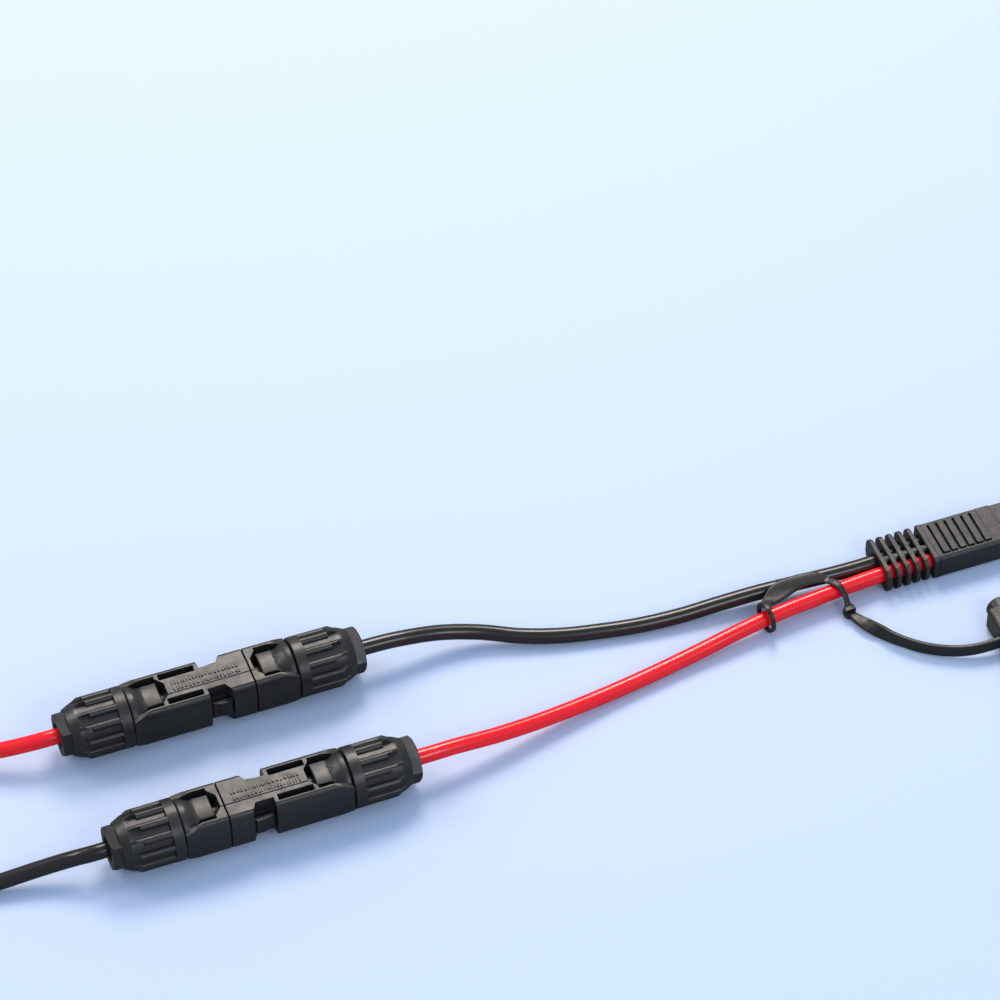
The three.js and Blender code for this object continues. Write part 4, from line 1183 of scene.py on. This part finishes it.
def tether_holder():
    """The saddle, with a yoke down to an eye at one end and a leg down to the
    strap's post at the other."""
    eye = lathe([(-0.5, 4.05), (-0.68, 4.25), (-0.68, 4.9), (-0.5, 5.1), (0.5, 5.1),
                 (0.68, 4.9), (0.68, 4.25), (0.5, 4.05), (-0.5, 4.05)])
    eye = moved(eye, Matrix.Translation((-80.6, -7.75, 5.2))
                @ Matrix.Rotation(math.radians(7), 4, "Z"))
    yoke = ribbon([
        (-75.5, -1.6, 7.0, 2.0, 0.8, 0), (-77.6, -2.9, 6.9, 3.0, 0.9, 0),
        (-79.1, -4.4, 7.4, 3.2, 1.0, 0), (-80.0, -6.0, 8.8, 2.7, 1.0, 0),
        (-80.4, -7.4, 9.8, 2.0, 0.9, 0), (-80.55, -8.8, 9.95, 1.5, 0.8, 0),
        (-80.6, -9.9, 9.5, 1.3, 0.8, 0)])
    leg = ribbon([
        (-61.5, -0.6, 7.0, 1.2, 0.7, 0), (-59.0, -0.9, 7.05, 2.0, 0.8, 0),
        (-57.0, -2.3, 7.4, 2.6, 0.95, 0), (-55.7, -4.3, 8.0, 2.5, 1.0, 0),
        (-54.9, -6.4, 8.05, 2.1, 1.0, 0), (-54.4, -8.4, 7.2, 1.8, 1.0, 0),
        (-54.1, -10.0, 5.6, 1.7, 1.0, 0), (-53.95, -11.0, 4.3, 2.0, 1.1, 0),
        (-53.9, -11.6, 3.75, 3.2, 1.2, 0), (-53.9, -12.4, 3.6, 3.7, 1.2, 0),
        (-53.9, -13.4, 3.6, 3.6, 1.1, 0)])
    post = upright([(0.2, 0), (0.2, 1.4), (0.35, 1.7), (0.8, 1.7), (0.95, 1.5), (1.0, 1.0),
                    (3.6, 1.0), (3.6, 0)], 32)
    return smoothed(csg(leaf(), [("+", yoke), ("+", eye), ("+", leg), ("+", post)]))


def tether_strap():
    """An eyelet round the post and a strap that rolls on edge towards the cap."""
    eyelet = upright([(1.25, 1.32), (1.25, 1.95), (1.45, 2.1), (2.55, 2.1), (2.75, 1.95),
                      (2.75, 1.32), (1.25, 1.32)], 40)
    strip = ribbon([
        (-53.4, -14.2, 2.0, 2.6, 1.5, 0), (-52.6, -16.2, 2.05, 3.4, 1.5, 0),
        (-51.4, -18.8, 2.3, 3.9, 1.5, 12), (-50.0, -21.4, 2.6, 4.2, 1.5, 38),
        (-48.2, -24.2, 2.65, 4.4, 1.5, 66), (-46.0, -27.2, 2.65, 4.4, 1.5, 84),
        (-43.2, -30.4, 2.65, 4.4, 1.5, 90), (-39.6, -33.9, 2.65, 4.4, 1.5, 90),
        (-35.2, -37.1, 2.7, 4.4, 1.5, 90), (-30.2, -39.8, 2.9, 4.4, 1.5, 90),
        (-25.0, -41.6, 3.3, 4.4, 1.5, 90), (-19.8, -42.4, 3.8, 4.4, 1.5, 90),
        (-14.5, -42.5, 4.2, 4.4, 1.5, 90)])
    return smoothed(csg(eyelet, [("+", strip)]))


def dust_cap():
    """A sleeve for the bare pin beside a box for the shrouded pole. Both open
    at y0."""
    x0, x1, y0, y1 = -15.5, 2.5, -48.4, -30.4
    sleeve_x, sleeve_z, r = -10.2, 5.0, 4.1
    to_sleeve = (Matrix.Translation((sleeve_x, 0, sleeve_z))
                 @ Matrix.Rotation(math.pi / 2, 4, "Z"))
    outline = rounded(x0, x1, 0, 8.9, 1.3)
    sleeve = lathe([(y0 + 1, 0), (y0 + 1, r), (y1 + 0.9, r), (y1 + 1.3, r - 0.12),
                    (y1 + 1.7, r - 0.5), (y1 + 2.0, r - 1.1), (y1 + 2.0, 0)])
    grooves = []
    for k in range(3):
        y = y0 + 5.0 + 2.2 * k
        grooves.append(("-", block(-3.5, 1.2, y, y + 0.6, 8.55, FAR)))
    strap_slot = block(x0 - 1, x0 + 1.4, -43.6, -41.3, 1.7, 6.7)
    steps = [
        ("+", moved(sleeve, to_sleeve)),
        ("+", prism(outline, "Y", y0, y0 + 1.5)),
        *grooves,
        ("-", moved(rod(y0 - 1, y1 - 2.5, 2.5, 40), to_sleeve)),
        ("-", prism(rounded(-6.1, 1.3, 1.0, 8.0, 1.2), "Y", y0 - 1, y1 - 4.5)),
        ("-", strap_slot),
    ]
    return eased(csg(prism(outline, "Y", y0, y1 - 2), steps), 0.2, angle=30)


piece("tether_holder", tether_holder())
piece("tether_strap", tether_strap())
piece("dust_cap", dust_cap())


# ------------------------------------------------------------------ staging
# In metres.
LIGHT_AIM = Vector((-0.16, 0.0, 0.0))
CAMERA_AIM = Vector((-0.1395, 0.0736, 0.0))
FLOOR_HALF = 6.0


def area(name, offset, size, power, colour, size_y=None):
    """An area light at an offset from the point it aims at."""
    location = LIGHT_AIM + offset
    light = bpy.data.lights.new(name, "AREA")
    light.shape = "RECTANGLE"
    light.size = size
    light.size_y = size_y or size
    light.energy = power
    light.color = colour
    ob = bpy.data.objects.new(name, light)
    bpy.context.scene.collection.objects.link(ob)
    ob.location = location
    ob.rotation_euler = (LIGHT_AIM - location).to_track_quat("-Z", "Y").to_euler()
    ob.visible_camera = False


def world():
    """A cool room, which looks neutral and dimmer in the gloss of the plastic."""
    w = bpy.data.worlds.new("studio")
    bpy.context.scene.world = w
    w.use_nodes = True
    tree = w.node_tree
    background = tree.nodes["Background"]
    rays = tree.nodes.new("ShaderNodeLightPath")
    tint = tree.nodes.new("ShaderNodeMix")
    tint.data_type = "RGBA"
    tint.inputs["A"].default_value = (0.525, 0.725, 1.0, 1)
    tint.inputs["B"].default_value = (0.33, 0.34, 0.36, 1)
    tree.links.new(rays.outputs["Is Glossy Ray"], tint.inputs["Factor"])
    tree.links.new(tint.outputs["Result"], background.inputs["Color"])
    background.inputs["Strength"].default_value = 0.90


def floor():
    """A pale floor just below the product, dimmer in reflections."""
    s = FLOOR_HALF
    me = bpy.data.meshes.new("floor")
    me.from_pydata([(-s, -s, 0), (s, -s, 0), (s, s, 0), (-s, s, 0)], [], [(0, 1, 2, 3)])
    ob = bpy.data.objects.new("floor", me)
    bpy.context.scene.collection.objects.link(ob)
    ob.location = (0, 0, CAD_BOUNDS[0][2] - 0.0001)
    n = Shader("pale_floor")
    glossy = n.add("LightPath").outputs["Is Glossy Ray"]
    n.set("Base Color", n.mix(glossy, (0.572, 0.625, 0.768), (0.20, 0.205, 0.215)))
    n.set("Roughness", 0.6)
    n.set("Specular IOR Level", 0.12)
    me.materials.append(n.mat)


def lights():
    high = Vector((0.225, 0.60, 0.770)).normalized()
    front = Vector((0.24, -0.72, 0.65)).normalized()
    area("softbox", high * 1.5, size=0.6, size_y=0.55, power=14.3, colour=(1.0, 0.91, 0.84))
    area("key", Vector((-0.9, 0.75, 1.0)), size=0.6, power=6.2, colour=(1.0, 0.95, 0.88))
    area("front", front * 1.5, size=0.5, power=4.2, colour=(0.88, 0.94, 1.0))


def camera():
    cam = bpy.data.cameras.new("camera")
    cam.sensor_width = 36
    cam.sensor_fit = "HORIZONTAL"
    cam.lens = 161.28
    cam.clip_start = 0.05
    cam.clip_end = 50
    ob = bpy.data.objects.new("camera", cam)
    bpy.context.scene.collection.objects.link(ob)
    ob.location = (-0.4900, -0.8443, 1.0722)
    ob.rotation_euler = (CAMERA_AIM - ob.location).to_track_quat("-Z", "Y").to_euler()
    bpy.context.scene.camera = ob


bpy.context.scene.view_settings.view_transform = "Standard"
world()
floor()
lights()
camera()
